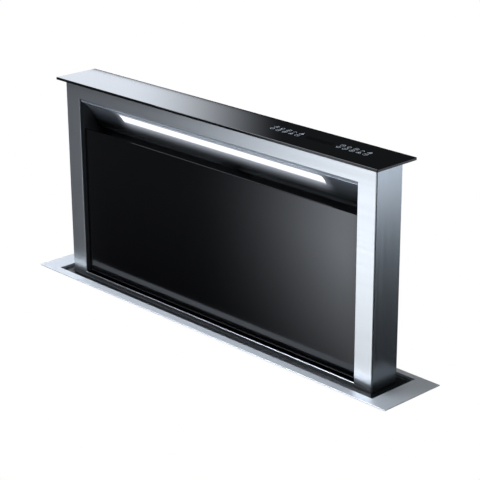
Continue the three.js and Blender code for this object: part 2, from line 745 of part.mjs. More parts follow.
// The impeller turns in its own group, whose origin is on the blower's axis
function makeImpeller() {
  const rotor = bodyGroup(vent, blowerX, 0, blowerZ);
  const wheelY = grown(voluteInnerY, -impellerEndGap);
  const plateY = [wheelY[0], wheelY[0] + impellerPlate];
  const ringY = [wheelY[1] - impellerPlate, wheelY[1]];
  const hubY = [wheelY[0], wheelY[0] + blowerHubDepth];
  const disc = rod('y', impellerRadius, plateY, [0, 0], pipeSides);
  const ring = cut(
    rod('y', impellerRadius, ringY, [0, 0], pipeSides),
    rod('y', impellerInnerRadius, grown(ringY, past), [0, 0], pipeSides),
  );
  const hub = rod('y', impellerHubRadius, hubY, [0, 0], shaftSides);
  const sweep = THREE.MathUtils.degToRad(bladeSweep);
  const bladeSpan = grown([impellerInnerRadius, impellerRadius], -bladeInset);
  const bladeAt = (start) => {
    const edge = (shift) =>
      [0, 0.5, 1].map((share) => {
        const radius = THREE.MathUtils.lerp(...bladeSpan, share);
        const angle = start + sweep * share * share + shift / radius;
        return new THREE.Vector2(radius * Math.cos(angle), radius * Math.sin(angle));
      });
    const half = bladeThickness / 2;
    const outline = new THREE.Shape([...edge(-half), ...edge(half).reverse()]);
    return prism('y', wheelY, outline);
  };
  const blades = Array.from({ length: bladeCount }, (_, i) => bladeAt((2 * Math.PI * i) / bladeCount));
  // The shaft is pressed into the hub and runs in the motor
  const shaftY = [voluteY[0] - blowerMotorLength / 2, hubY[0] + past];
  const shaft = rod('y', blowerShaftRadius, shaftY, [0, 0], smallSides);
  add(rotor, 'blower_impeller', join(disc, ring, hub, shaft, ...blades), blackPlastic);

  const motorY = [voluteY[0] - blowerMotorLength, voluteY[0]];
  const socketY = [shaftY[0] - past, voluteY[0] + past];
  const axis = [blowerX, blowerZ];
  const motor = cut(
    rod('y', blowerMotorRadius, motorY, axis, pipeSides),
    rod('y', blowerShaftRadius + runningGap, socketY, axis, smallSides),
  );
  add(fixed, 'blower_motor', motor, blackPaint);
}

// ---------- duct outlet with two spring flaps that open outwards ----------

const pinX = seatX[0] - seatGap - flapPinRadius - runningGap - knuckleWall;
const knuckleRadius = flapPinRadius + runningGap + knuckleWall;

function makeOutlet() {
  const ringOf = (outer, inner) => {
    const outline = new THREE.Shape().absarc(...collarAxis, outer, 0, 2 * Math.PI);
    outline.holes.push(new THREE.Path().absarc(...collarAxis, inner, 0, 2 * Math.PI));
    return outline;
  };
  const tubeX = [seatX[0] - collarLength, seatX[1]];
  const tube = prism('x', tubeX, ringOf(ductRadius, ductInner), pipeSides / 2);
  const seat = prism('x', seatX, ringOf(ductRadius + collarFlange, seatHoleRadius), pipeSides / 2);
  const pinZ = around(collarZ, 2 * ductRadius);
  const bore = rod('z', flapPinRadius + runningGap, grown(pinZ, past), [pinX, collarY], smallSides);
  add(fixed, 'outlet_collar', cut(join(tube, seat), bore), galvanised);
  add(fixed, 'flap_pin', rod('z', flapPinRadius, pinZ, [pinX, collarY], smallSides), polishedStainless);
}

// Each flap turns about the pin; its group stands on the pin at the collar's axis
function makeFlap(side, name) {
  const flap = bodyGroup(vent, pinX, collarY, collarZ);
  const plateX = [knuckleRadius - flapThickness, knuckleRadius];
  const radius = ductInner - flapEdgeGap;
  const half = new THREE.Shape().absarc(0, 0, radius, 0, 2 * Math.PI);
  const disc = prism('x', plateX, half, pipeSides / 2);
  const clear = knuckleRadius + flapEdgeGap;
  const tall = [-2 * radius, 2 * radius];
  const keep = block(grown(plateX, past), towards(side, [clear, 2 * radius]), tall);
  const plate = geometryOf(solid(disc).intersect(solid(keep)));
  const knuckleZ = towards(side, [knuckleGap / 2, radius - knuckleEndGap]);
  const web = block(plateX, towards(side, [0, clear + past]), knuckleZ);
  const knuckle = rod('z', knuckleRadius, knuckleZ, [0, 0], smallSides);
  const bore = rod('z', flapPinRadius + runningGap, tall, [0, 0], smallSides);
  add(flap, name, cut(join(plate, web, knuckle), bore), anodised);
}

makeVolute();
makeCasing();
makeImpeller();
makeOutlet();
makeFlap(-1, 'outlet_flap_front');
makeFlap(1, 'outlet_flap_rear');

// ---------- electronics on the housing's front ----------

function makeElectronics() {
  const x = around(boxX, boxWidth);
  const y = [housingOuterY[0] - boxDepth, housingOuterY[0]];
  const z = [-boxTopBelow - boxHeight, -boxTopBelow];
  const cavityX = grown(x, -boxWall);
  const cavityZ = grown(z, -boxWall);
  const tray = cut(block(x, y, z), block(cavityX, [y[0] - past, y[1] - boxWall], cavityZ));
  const boardX = grown(cavityX, -powerBoardMargin);
  const boardZ = grown(cavityZ, -powerBoardMargin);
  const boardY = [y[1] - boxWall - standoffHeight - powerBoardThickness, y[1] - boxWall - standoffHeight];
  const posts = [];
  for (const postX of grown(boardX, -powerBoardMargin))
    for (const postZ of grown(boardZ, -powerBoardMargin))
      posts.push(rod('y', standoffRadius, [boardY[1], y[1] - boxWall / 2], [postX, postZ], smallSides));
  add(fixed, 'electronics_box', join(tray, ...posts), galvanised);
  add(fixed, 'power_board', block(boardX, boardY, boardZ), boardGreen);
  add(fixed, 'electronics_cover', block(x, [y[0] - coverSheet, y[0]], z), galvanised);

  // Supply inlet under the box, open downwards for the mains plug
  const socketX = around(boxX, socketWidth);
  const socketY = around((y[0] + y[1]) / 2, socketDepth);
  const socketZ = [z[0] - socketHeight, z[0]];
  const cavity = block(
    grown(socketX, -socketWall),
    grown(socketY, -socketWall),
    [socketZ[0] - past, socketZ[1] - socketWall],
  );
  add(fixed, 'supply_inlet', cut(block(socketX, socketY, socketZ), cavity), blackPlastic);
}
makeElectronics();

export default vent;
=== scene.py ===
# Dresses the downdraft vent: finishes, finer pieces where the eye falls, studio light and the camera
import bpy
import bmesh
import json
import math
from mathutils import Matrix, Vector

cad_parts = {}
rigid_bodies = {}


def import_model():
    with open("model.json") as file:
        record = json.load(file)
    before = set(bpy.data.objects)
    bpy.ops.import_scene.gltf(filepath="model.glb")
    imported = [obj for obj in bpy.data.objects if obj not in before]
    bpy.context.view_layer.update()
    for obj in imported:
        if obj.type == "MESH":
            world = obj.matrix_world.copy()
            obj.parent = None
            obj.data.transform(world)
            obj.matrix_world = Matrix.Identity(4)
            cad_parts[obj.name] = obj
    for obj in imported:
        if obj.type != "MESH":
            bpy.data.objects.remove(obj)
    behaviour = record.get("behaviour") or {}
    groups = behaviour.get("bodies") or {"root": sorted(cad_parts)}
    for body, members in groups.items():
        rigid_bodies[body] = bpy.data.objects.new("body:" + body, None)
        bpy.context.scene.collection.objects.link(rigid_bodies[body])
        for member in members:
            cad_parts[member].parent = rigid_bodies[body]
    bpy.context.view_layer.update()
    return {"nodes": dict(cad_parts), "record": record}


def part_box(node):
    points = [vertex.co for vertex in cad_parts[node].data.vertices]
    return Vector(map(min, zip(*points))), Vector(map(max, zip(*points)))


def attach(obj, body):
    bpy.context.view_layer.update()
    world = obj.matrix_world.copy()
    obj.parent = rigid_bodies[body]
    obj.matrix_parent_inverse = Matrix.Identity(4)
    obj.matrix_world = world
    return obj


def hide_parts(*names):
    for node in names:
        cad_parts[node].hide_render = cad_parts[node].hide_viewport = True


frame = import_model()
mm = 0.001
cadNodes = frame["nodes"]
slotOf = {row["node"]: row["material_slot"] for row in frame["record"]["subparts"]}
bodyOf = {node: cadNodes[node].parent.name.split(":")[1] for node in slotOf}
print("frame loaded:", len(cadNodes), "nodes")


def hexColour(code):  # sRGB hex to the linear RGBA that shaders read
    shares = [int(code[i:i + 2], 16) / 255 for i in (1, 3, 5)]
    linear = [v / 12.92 if v <= 0.04045 else ((v + 0.055) / 1.055) ** 2.4 for v in shares]
    return (*linear, 1.0)


def addNode(tree, kind, inputs=None, **settings):  # an input is a value, or another node's output
    node = tree.nodes.new(kind)
    for name, value in settings.items():
        if name == "stops":  # a colour ramp's places and hex colours
            while len(node.color_ramp.elements) < len(value):
                node.color_ramp.elements.new(0.5)
            for element, (place, code) in zip(node.color_ramp.elements, value):
                element.position = place
                element.color = hexColour(code)
        else:
            setattr(node, name, value)
    for name, value in (inputs or {}).items():
        if isinstance(value, bpy.types.NodeSocket):
            tree.links.new(value, node.inputs[name])
        else:
            node.inputs[name].default_value = value
    return node


def startMaterial(name, colour=None, **sockets):  # a Principled shader with its plain values set
    material = bpy.data.materials.new(name)
    material.use_nodes = True
    tree = material.node_tree
    shader = tree.nodes["Principled BSDF"]
    if colour:
        shader.inputs["Base Color"].default_value = hexColour(colour)
    for key, value in sockets.items():
        shader.inputs[key.replace("_", " ")].default_value = value
    return material, tree, shader


def feed(shader, **nodes):  # a node's first output goes to the socket that its key names
    for key, node in nodes.items():
        shader.id_data.links.new(node.outputs[0], shader.inputs[key.replace("_", " ")])


def makePiece(bm, name, material, body, replaced=(), smoothAngle=None):
    mesh = bpy.data.meshes.new(name)
    bm.to_mesh(mesh)
    bm.free()
    if smoothAngle:
        mesh.shade_smooth()
        mesh.set_sharp_from_angle(angle=math.radians(smoothAngle))
    piece = bpy.data.objects.new(name, mesh)
    bpy.context.scene.collection.objects.link(piece)
    mesh.materials.append(material)
    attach(piece, body)
    if replaced:
        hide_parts(*replaced)
    return piece


def around(verts, kind):  # the edges or faces that meet the vertices, each once
    return list(dict.fromkeys(item for vert in verts for item in getattr(vert, kind)))


def softenEdges(bm, edges, width, segments=2):
    bmesh.ops.bevel(bm, geom=edges, offset=width, offset_type="OFFSET", segments=segments,
                    profile=0.5, affect="EDGES", clamp_overlap=True, material=-1)


def addBox(bm, low, high, softEdge=0.0):
    made = bmesh.ops.create_cube(bm, size=1.0)["verts"]
    bmesh.ops.scale(bm, vec=Vector(high) - Vector(low), verts=made)
    bmesh.ops.translate(bm, vec=(Vector(low) + Vector(high)) / 2, verts=made)
    if softEdge:
        softenEdges(bm, around(made, "link_edges"), softEdge)


def addDisc(bm, centre, axis, radius, length, sides=24, softEdge=0.0, tip=None):
    # A cylinder, or a cone where the tip's radius differs, centred at a place along "X", "Y" or "Z"
    turn = {"X": Matrix.Rotation(math.radians(90), 4, "Y"), "Y": Matrix.Rotation(math.radians(90), 4, "X"),
            "Z": Matrix()}[axis]
    made = bmesh.ops.create_cone(bm, cap_ends=True, segments=sides, radius1=radius,
                                 radius2=radius if tip is None else tip, depth=length,
                                 matrix=Matrix.Translation(centre) @ turn)["verts"]
    if softEdge:
        softenEdges(bm, [edge for edge in around(made, "link_edges")
                         if any(len(face.verts) > 4 for face in edge.link_faces)], softEdge)


nodeCleaning = {"mergeWithin": 0.002 * mm, "flatWithin": 0.5}  # the angle in degrees


def nodeCopy(node):  # the frame's own mesh of a node, merged into clean flat faces
    bm = bmesh.new()
    bm.from_mesh(cadNodes[node].data)
    bmesh.ops.remove_doubles(bm, verts=bm.verts, dist=nodeCleaning["mergeWithin"])
    bmesh.ops.dissolve_limit(bm, angle_limit=math.radians(nodeCleaning["flatWithin"]), verts=bm.verts,
                             edges=bm.edges)
    return bm


def camelName(node):
    words = node.split("_")
    return words[0] + "".join(word.capitalize() for word in words[1:])


cameraSetup = {  # metres, degrees and millimetres
    "place": (1.9352, -1.7827, 1.1197), "down": 20.176, "heading": 46.61, "roll": -0.376,
    "lens": 119.32, "sensor": 36,
}


def makeCamera(setup):
    data = bpy.data.cameras.new("camera")
    data.lens = setup["lens"]
    data.sensor_width = setup["sensor"]
    camera = bpy.data.objects.new("camera", data)
    bpy.context.scene.collection.objects.link(camera)
    turn = (Matrix.Rotation(math.radians(setup["heading"]), 4, "Z")
            @ Matrix.Rotation(math.radians(90 - setup["down"]), 4, "X")
            @ Matrix.Rotation(math.radians(setup["roll"]), 4, "Z"))
    camera.matrix_world = Matrix.Translation(setup["place"]) @ turn
    bpy.context.scene.camera = camera


makeCamera(cameraSetup)
print("camera set")


def brushedSteel(name, grain, colour="#c4c7ca", roughness=0.3, metallic=1.0, scratch=0.02):
    # AISI 304 sheet brushed with a 240-grit belt: a long straight grain and soft reflections
    material, tree, shader = startMaterial(name, colour, Metallic=metallic)
    place = addNode(tree, "ShaderNodeTexCoord").outputs["Object"]
    # Real scratches are 0.05 mm apart; these are drawn 1 mm apart so that they show
    along, across = 1 / (80 * mm), 1 / (1 * mm)
    fine = addNode(tree, "ShaderNodeMapping", {
        "Vector": place, "Scale": [along if axis == grain else across for axis in "XYZ"]})
    scratches = addNode(tree, "ShaderNodeTexNoise", {
        "Vector": fine.outputs["Vector"], "Scale": 1.0, "Detail": 3.0})
    bandAlong, bandAcross = 1 / (450 * mm), 1 / (6 * mm)
    broad = addNode(tree, "ShaderNodeMapping", {
        "Vector": place, "Scale": [bandAlong if axis == grain else bandAcross for axis in "XYZ"]})
    bands = addNode(tree, "ShaderNodeTexNoise", {
        "Vector": broad.outputs["Vector"], "Scale": 1.0, "Detail": 2.0})
    spread = addNode(tree, "ShaderNodeMapRange", {
        "Value": bands.outputs["Fac"], "From Min": 0.3, "From Max": 0.7, "To Min": roughness - 0.02,
        "To Max": roughness + 0.02})
    bump = addNode(tree, "ShaderNodeBump", {
        "Height": scratches.outputs["Fac"], "Strength": scratch, "Distance": 0.01 * mm})
    feed(shader, Roughness=spread, Normal=bump)
    return material


def polishedSteel(name, roughness=0.08):
    # Ground and polished stainless bar and pin: a mirror with a faint haze
    material, tree, shader = startMaterial(name, "#c6c9cc", Metallic=1.0)
    place = addNode(tree, "ShaderNodeTexCoord").outputs["Object"]
    haze = addNode(tree, "ShaderNodeTexNoise", {"Vector": place, "Scale": 1 / (40 * mm), "Detail": 4.0})
    spread = addNode(tree, "ShaderNodeMapRange", {
        "Value": haze.outputs["Fac"], "To Min": roughness * 0.6, "To Max": roughness * 1.6})
    feed(shader, Roughness=spread)
    return material


def blackGlass(name, roughness, **sockets):
    # Toughened float glass, enamelled black on its back: deep black under a mirror
    material, tree, shader = startMaterial(name, "#050506", IOR=1.52, **sockets)
    place = addNode(tree, "ShaderNodeTexCoord").outputs["Object"]
    smears = addNode(tree, "ShaderNodeTexNoise", {
        "Vector": place, "Scale": 1 / (140 * mm), "Detail": 5.0})
    spread = addNode(tree, "ShaderNodeMapRange", {
        "Value": smears.outputs["Fac"], "From Min": 0.35, "From Max": 0.75, "To Min": roughness,
        "To Max": roughness * 1.2})
    feed(shader, Roughness=spread)
    return material


def blackEnamel(name):
    # Steel under baked vitreous enamel: gloss black, with the slow waves of a fired coat
    material, tree, shader = startMaterial(name, "#0a0b0c", IOR=1.5, Roughness=0.12,
                                           Specular_IOR_Level=0.3)
    place = addNode(tree, "ShaderNodeTexCoord").outputs["Object"]
    waves = addNode(tree, "ShaderNodeTexNoise", {"Vector": place, "Scale": 1 / (18 * mm), "Detail": 1.0})
    bump = addNode(tree, "ShaderNodeBump", {
        "Height": waves.outputs["Fac"], "Strength": 0.02, "Distance": 0.02 * mm})
    feed(shader, Normal=bump)
    return material


def zincSheet(name, greys=("#b0b5b8", "#b7bcbf", "#bec3c5")):
    # Hot-dip galvanised sheet: flat crystals 7 mm across, each a slightly different grey
    material, tree, shader = startMaterial(name, Metallic=0.8)
    place = addNode(tree, "ShaderNodeTexCoord").outputs["Object"]
    bent = addNode(tree, "ShaderNodeTexNoise", {"Vector": place, "Scale": 1 / (7 * mm), "Detail": 2.0})
    swing = addNode(tree, "ShaderNodeVectorMath", {
        0: bent.outputs["Color"], 3: 8 * mm}, operation="SCALE")
    moved = addNode(tree, "ShaderNodeVectorMath", {0: place, 1: swing.outputs["Vector"]}, operation="ADD")
    crystals = addNode(tree, "ShaderNodeTexVoronoi", {
        "Vector": moved.outputs["Vector"], "Scale": 1 / (7 * mm)})
    tone = addNode(tree, "ShaderNodeSeparateColor", {"Color": crystals.outputs["Color"]})
    grey = addNode(tree, "ShaderNodeValToRGB", {
        "Fac": tone.outputs["Red"]}, stops=[(0.1, greys[0]), (0.5, greys[1]), (0.95, greys[2])])
    spread = addNode(tree, "ShaderNodeMapRange", {
        "Value": tone.outputs["Green"], "To Min": 0.42, "To Max": 0.5})
    feed(shader, Base_Color=grey, Roughness=spread)
    return material


def anodisedAluminium(name, light="#8b929b", dark="#818890"):
    # Rolled or extruded aluminium, satin anodised: even and cool, with a faint grain along its length
    material, tree, shader = startMaterial(name, Metallic=1.0, Roughness=0.32)
    place = addNode(tree, "ShaderNodeTexCoord").outputs["Object"]
    drawn = addNode(tree, "ShaderNodeMapping", {
        "Vector": place, "Scale": (1 / (160 * mm), 1 / (2.5 * mm), 1 / (2.5 * mm))})
    grain = addNode(tree, "ShaderNodeTexNoise", {
        "Vector": drawn.outputs["Vector"], "Scale": 1.0, "Detail": 2.0})
    tone = addNode(tree, "ShaderNodeValToRGB", {
        "Fac": grain.outputs["Fac"]}, stops=[(0.35, dark), (0.65, light)])
    feed(shader, Base_Color=tone)
    return material


def mouldedPlastic(name, dark, light, roughness=0.5):
    # Glass-filled polyamide or acetal out of a spark-eroded mould: matt, with a fine even texture
    material, tree, shader = startMaterial(name, IOR=1.53, Roughness=roughness)
    place = addNode(tree, "ShaderNodeTexCoord").outputs["Object"]
    # The real texture is 0.1 mm across; it is drawn 0.4 mm across so that it shows
    texture = addNode(tree, "ShaderNodeTexNoise", {
        "Vector": place, "Scale": 1 / (0.4 * mm), "Detail": 2.0})
    tone = addNode(tree, "ShaderNodeValToRGB", {
        "Fac": texture.outputs["Fac"]}, stops=[(0.4, dark), (0.65, light)])
    bump = addNode(tree, "ShaderNodeBump", {
        "Height": texture.outputs["Fac"], "Strength": 0.3, "Distance": 0.04 * mm})
    feed(shader, Base_Color=tone, Normal=bump)
    return material


def powderCoat(name, colour="#17181a"):
    # Baked epoxy powder: low sheen with a soft orange peel 1.5 mm across
    material, tree, shader = startMaterial(name, colour, IOR=1.5, Roughness=0.42)
    place = addNode(tree, "ShaderNodeTexCoord").outputs["Object"]
    peel = addNode(tree, "ShaderNodeTexNoise", {"Vector": place, "Scale": 1 / (1.5 * mm), "Detail": 1.0})
    bump = addNode(tree, "ShaderNodeBump", {
        "Height": peel.outputs["Fac"], "Strength": 0.35, "Distance": 0.06 * mm})
    feed(shader, Normal=bump)
    return material


def extrudedRubber(name):
    # Extruded EPDM seal and foam: nearly black, soft and dusty
    material, tree, shader = startMaterial(name, IOR=1.5, Roughness=0.75)
    place = addNode(tree, "ShaderNodeTexCoord").outputs["Object"]
    drawn = addNode(tree, "ShaderNodeMapping", {
        "Vector": place, "Scale": (1 / (25 * mm), 1 / (3 * mm), 1 / (3 * mm))})
    bloom = addNode(tree, "ShaderNodeTexNoise", {
        "Vector": drawn.outputs["Vector"], "Scale": 1.0, "Detail": 3.0})
    tone = addNode(tree, "ShaderNodeValToRGB", {
        "Fac": bloom.outputs["Fac"]}, stops=[(0.35, "#131313"), (0.7, "#1f1f20")])
    feed(shader, Base_Color=tone)
    return material


opalStrip = {"glow": 1.75, "edge": 9 * mm, "least": 0.08}


def opalAcrylic(name, strip):
    # Extruded opal acrylic over a row of cold-white LEDs: white along the middle, softer at its edges
    material, tree, shader = startMaterial(name, "#8d939b", IOR=1.49, Roughness=0.35,
                                           Emission_Color=hexColour("#f3f6ff"))
    low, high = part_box("light_diffuser")
    place = addNode(tree, "ShaderNodeTexCoord").outputs["Object"]
    height = addNode(tree, "ShaderNodeSeparateXYZ", {"Vector": place}).outputs["Z"]
    upward = addNode(tree, "ShaderNodeMapRange", {
        "Value": height, "From Min": low.z, "From Max": low.z + strip["edge"],
        "To Min": strip["least"]}, interpolation_type="SMOOTHSTEP")
    downward = addNode(tree, "ShaderNodeMapRange", {
        "Value": height, "From Min": high.z, "From Max": high.z - strip["edge"],
        "To Min": strip["least"]}, interpolation_type="SMOOTHSTEP")
    both = addNode(tree, "ShaderNodeMath", {
        0: upward.outputs["Result"], 1: downward.outputs["Result"]}, operation="MULTIPLY")
    glow = addNode(tree, "ShaderNodeMath", {
        0: both.outputs["Value"], 1: strip["glow"]}, operation="MULTIPLY")
    feed(shader, Emission_Strength=glow)
    return material


# painted shade: the reflector's colour darkens from the strip down to black at its foot behind the glass
reflectorShadeTones = [(0.0, "#040506"), (0.3, "#0b0c0e"), (0.6, "#50565e"), (1.0, "#878e97")]  # foot to top
# painted glow: emission on the reflector near the strip, fading below, above and towards its ends
spilledLight = {"below": 22 * mm, "above": 22 * mm, "ends": 22 * mm, "power": 2.8, "strength": 0.4}


def curvedReflector(name, tones, spill):
    # Satin anodised aluminium with painted shade and a painted glow: its colour darkens to black at its foot
    # behind the glass, and emission near the strip stands in for the strip's light falling on it
    material, tree, shader = startMaterial(name, Metallic=0.6, Roughness=0.42,
                                           Emission_Color=hexColour("#e4ebf8"))
    low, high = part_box("light_diffuser")
    place = addNode(tree, "ShaderNodeTexCoord").outputs["Object"]
    parts = addNode(tree, "ShaderNodeSeparateXYZ", {"Vector": place})
    rise = addNode(tree, "ShaderNodeMapRange", {
        "Value": parts.outputs["Z"], "From Min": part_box("light_reflector")[0].z, "From Max": high.z})
    # painted shade: the colour ramp by height is dark at the foot
    tone = addNode(tree, "ShaderNodeValToRGB", {"Fac": rise.outputs["Result"]}, stops=tones)
    below = addNode(tree, "ShaderNodeMapRange", {
        "Value": parts.outputs["Z"], "From Min": low.z - spill["below"], "From Max": low.z + 1 * mm})
    above = addNode(tree, "ShaderNodeMapRange", {
        "Value": parts.outputs["Z"], "From Min": high.z + spill["above"], "From Max": high.z})
    near = addNode(tree, "ShaderNodeMath", {
        0: below.outputs["Result"], 1: above.outputs["Result"]}, operation="MULTIPLY")
    shaped = addNode(tree, "ShaderNodeMath", {
        0: near.outputs["Value"], 1: spill["power"]}, operation="POWER")
    sideways = addNode(tree, "ShaderNodeMath", {0: parts.outputs["X"]}, operation="ABSOLUTE")
    within = addNode(tree, "ShaderNodeMapRange", {
        "Value": sideways.outputs["Value"], "From Min": high.x + spill["ends"],
        "From Max": high.x - spill["ends"], "To Max": spill["strength"]}, interpolation_type="SMOOTHSTEP")
    # painted glow: emission strongest just below the strip, standing in for its light
    glow = addNode(tree, "ShaderNodeMath", {
        0: shaped.outputs["Value"], 1: within.outputs["Result"]}, operation="MULTIPLY")
    feed(shader, Base_Color=tone, Emission_Strength=glow)
    return material


def circuitBoard(name):
    # FR4 under green solder mask: traces 0.8 mm wide show as a slightly lighter green
    material, tree, shader = startMaterial(name, IOR=1.5, Roughness=0.35)
    place = addNode(tree, "ShaderNodeTexCoord").outputs["Object"]
    traces = addNode(tree, "ShaderNodeTexBrick", {
        "Vector": place, "Scale": 1 / (4 * mm), "Mortar Size": 0.1, "Color1": hexColour("#0e3b24"),
        "Color2": hexColour("#11462b"), "Mortar": hexColour("#2b6b45")})
    feed(shader, Base_Color=traces)
    return material


def rawAluminium(name, light="#c2c6c9", dark="#a3a8ac"):
    # Mill-finish aluminium foil and rolled frame: bright, with a light scuff
    material, tree, shader = startMaterial(name, Metallic=1.0, Roughness=0.36)
    place = addNode(tree, "ShaderNodeTexCoord").outputs["Object"]
    scuff = addNode(tree, "ShaderNodeTexNoise", {"Vector": place, "Scale": 1 / (9 * mm), "Detail": 4.0})
    tone = addNode(tree, "ShaderNodeValToRGB", {
        "Fac": scuff.outputs["Fac"]}, stops=[(0.35, dark), (0.65, light)])
    feed(shader, Base_Color=tone)
    return material


def printedInkWithGlow(name):
    # Grey ceramic ink, screen-printed on the glass and fired; its faint emission is a painted glow that
    # makes the marks brighter than their light does
    # painted glow: the ink emits a little of its own colour
    material, tree, shader = startMaterial(name, IOR=1.5, Roughness=0.3, Emission_Strength=0.1)
    place = addNode(tree, "ShaderNodeTexCoord").outputs["Object"]
    cover = addNode(tree, "ShaderNodeTexNoise", {"Vector": place, "Scale": 1 / (0.5 * mm), "Detail": 2.0})
    tone = addNode(tree, "ShaderNodeValToRGB", {
        "Fac": cover.outputs["Fac"]}, stops=[(0.3, "#8d9198"), (0.7, "#a4a8ae")])
    feed(shader, Base_Color=tone, Emission_Color=tone)
    return material


stainlessFront = brushedSteel("stainlessFront", "X")
stainlessSide = brushedSteel("stainlessSide", "Z", "#9fa5aa", 0.25, scratch=0.004)
stainlessFlange = brushedSteel("stainlessFlange", "X", roughness=0.5, metallic=0.8)
stainlessBar = polishedSteel("stainlessBar")
lidGlassFinish = blackGlass("lidGlassFinish", 0.03, Specular_IOR_Level=0.25)
frontGlassFinish = blackGlass("frontGlassFinish", 0.1, Specular_IOR_Level=0.28)
recessEnamel = blackEnamel("recessEnamel")
zinc = zincSheet("zinc")
satinAluminium = anodisedAluminium("satinAluminium")
reflectorAluminium = curvedReflector("reflectorAluminium", reflectorShadeTones, spilledLight)
blackMoulding = mouldedPlastic("blackMoulding", "#191a1c", "#1f2022")
whiteAcetal = mouldedPlastic("whiteAcetal", "#d6d4cb", "#e2e0d8", 0.4)
blackPowder = powderCoat("blackPowder")
# painted light: a lighter grey than the liners' black, so that their shaded faces read lighter
greyPowder = powderCoat("greyPowder", "#3a3d40")
sealRubber = extrudedRubber("sealRubber")
lightFace = opalAcrylic("lightFace", opalStrip)
greenBoard = circuitBoard("greenBoard")
filterAluminium = rawAluminium("filterAluminium")
touchInk = printedInkWithGlow("touchInk")
displayFilm = startMaterial("displayFilm", "#020202", IOR=1.2, Roughness=0.1)[0]  # gloss black acrylic

slotFinish = {
    "brushed_stainless": stainlessFront, "polished_stainless": stainlessBar, "galvanised_steel": zinc,
    "anodised_aluminium": satinAluminium, "black_glass": frontGlassFinish, "black_rubber": sealRubber,
    "black_plastic": blackMoulding, "white_diffuser": lightFace, "circuit_board": greenBoard,
    "black_paint": blackPowder, "black_enamel": recessEnamel, "filter_aluminium": filterAluminium,
    "white_acetal": whiteAcetal,
}
ownFinish = {
    "tower_left_cheek": stainlessSide, "tower_right_cheek": stainlessSide,
    # the liners take the lifted grey as painted light
    "tower_left_liner": greyPowder, "tower_right_liner": greyPowder,
    "worktop_flange": stainlessFlange, "lid_glass": lidGlassFinish, "light_reflector": reflectorAluminium,
}
finishOf = {node: ownFinish.get(node, slotFinish[slot]) for node, slot in slotOf.items()}
for node, material in finishOf.items():
    cadNodes[node].data.materials.clear()
    cadNodes[node].data.materials.append(material)
print("finishes set")


def replaceNode(bm, node, smoothAngle=None):  # a finished mesh in place of the node's own
    return makePiece(bm, camelName(node), finishOf[node], bodyOf[node], [node], smoothAngle)


def dressNode(node, softEdge, segments=2, sharperThan=30, smoothAngle=None, extra=None):
    # The node's own shape with its sharp edges softened, and what the extra function adds to it.
    # The angles are in degrees
    bm = nodeCopy(node)
    if softEdge:
        limit = math.radians(sharperThan)
        sharp = [edge for edge in bm.edges if len(edge.link_faces) == 2 and edge.calc_face_angle() > limit]
        softenEdges(bm, sharp, softEdge, segments)
    if extra:
        extra(bm)
    return replaceNode(bm, node, smoothAngle)


onFace = 0.1 * mm  # a point nearer to a face than this lies on it
flangePlate = {"softEdge": 0.2 * mm, "chamfer": 0.3 * mm, "sharperThan": 57}


def makeFlange(plate):  # its outer edge is chamfered, so that it lies flat under a cloth
    low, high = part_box("worktop_flange")
    bm = nodeCopy("worktop_flange")

    def outside(point):
        return min(point.x - low.x, high.x - point.x, point.y - low.y, high.y - point.y) < onFace

    rim = [e for e in bm.edges if all(outside(v.co) and v.co.z > high.z - onFace for v in e.verts)]
    softenEdges(bm, rim, plate["chamfer"], 1)
    inner = [e for e in bm.edges if e.calc_face_angle(0) > math.radians(plate["sharperThan"])
             and not all(outside(v.co) for v in e.verts) and e.calc_length() > 2 * plate["chamfer"]]
    softenEdges(bm, inner, plate["softEdge"])
    replaceNode(bm, "worktop_flange")


frontGlass = {"groundEdge": 0.15 * mm, "groundTop": 0.9 * mm}


def makeGlassPanel(panel):  # ground all round, and more along its top edge
    low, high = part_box("glass_panel")
    bm = bmesh.new()
    addBox(bm, low, high)
    upper = [e for e in bm.edges if all(v.co.z > high.z - onFace for v in e.verts)]
    other = [e for e in bm.edges if e not in upper]
    softenEdges(bm, upper, panel["groundTop"])
    softenEdges(bm, [e for e in other if e.is_valid], panel["groundEdge"], 1)
    replaceNode(bm, "glass_panel")


lipBead = {"radius": 0.6 * mm, "below": 0.3 * mm, "shorter": 0.4 * mm, "sides": 16}


def makeLipBead(bead):  # the bead along the foot of the reflector's lip, in satin anodised aluminium
    low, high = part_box("light_reflector")
    front = [v.co.z for v in cadNodes["light_reflector"].data.vertices if v.co.y < low.y + onFace]
    bm = bmesh.new()
    middle = ((low.x + high.x) / 2, low.y + bead["radius"] / 2, min(front) - bead["below"])
    addDisc(bm, middle, "X", bead["radius"], high.x - low.x - bead["shorter"], bead["sides"])
    makePiece(bm, "reflectorBead", satinAluminium, "tower", smoothAngle=40)


dressNode("tower_front_frame", 0.45 * mm, segments=3)
makeFlange(flangePlate)
dressNode("lid_glass", 0.9 * mm, segments=3)
makeGlassPanel(frontGlass)
dressNode("light_reflector", 0.3 * mm)
makeLipBead(lipBead)

touchMarks = {
    "middles": (156 * mm, 306 * mm), "rows": (2 * mm, 13 * mm), "pitch": 14.5 * mm, "count": 5,
    "radius": 4.3 * mm, "stroke": 0.9 * mm, "height": 0.03 * mm,
}


def addStroke(bm, start, end, width, height):  # a printed bar between two places on the lid
    start, end = Vector(start), Vector(end)
    along = end - start
    made = bmesh.ops.create_cube(bm, size=1.0)["verts"]
    bmesh.ops.scale(bm, vec=(along.length, width, height), verts=made)
    turn = Matrix.Rotation(math.atan2(along.y, along.x), 4, "Z")
    bmesh.ops.transform(bm, matrix=Matrix.Translation((start + end) / 2) @ turn, verts=made)


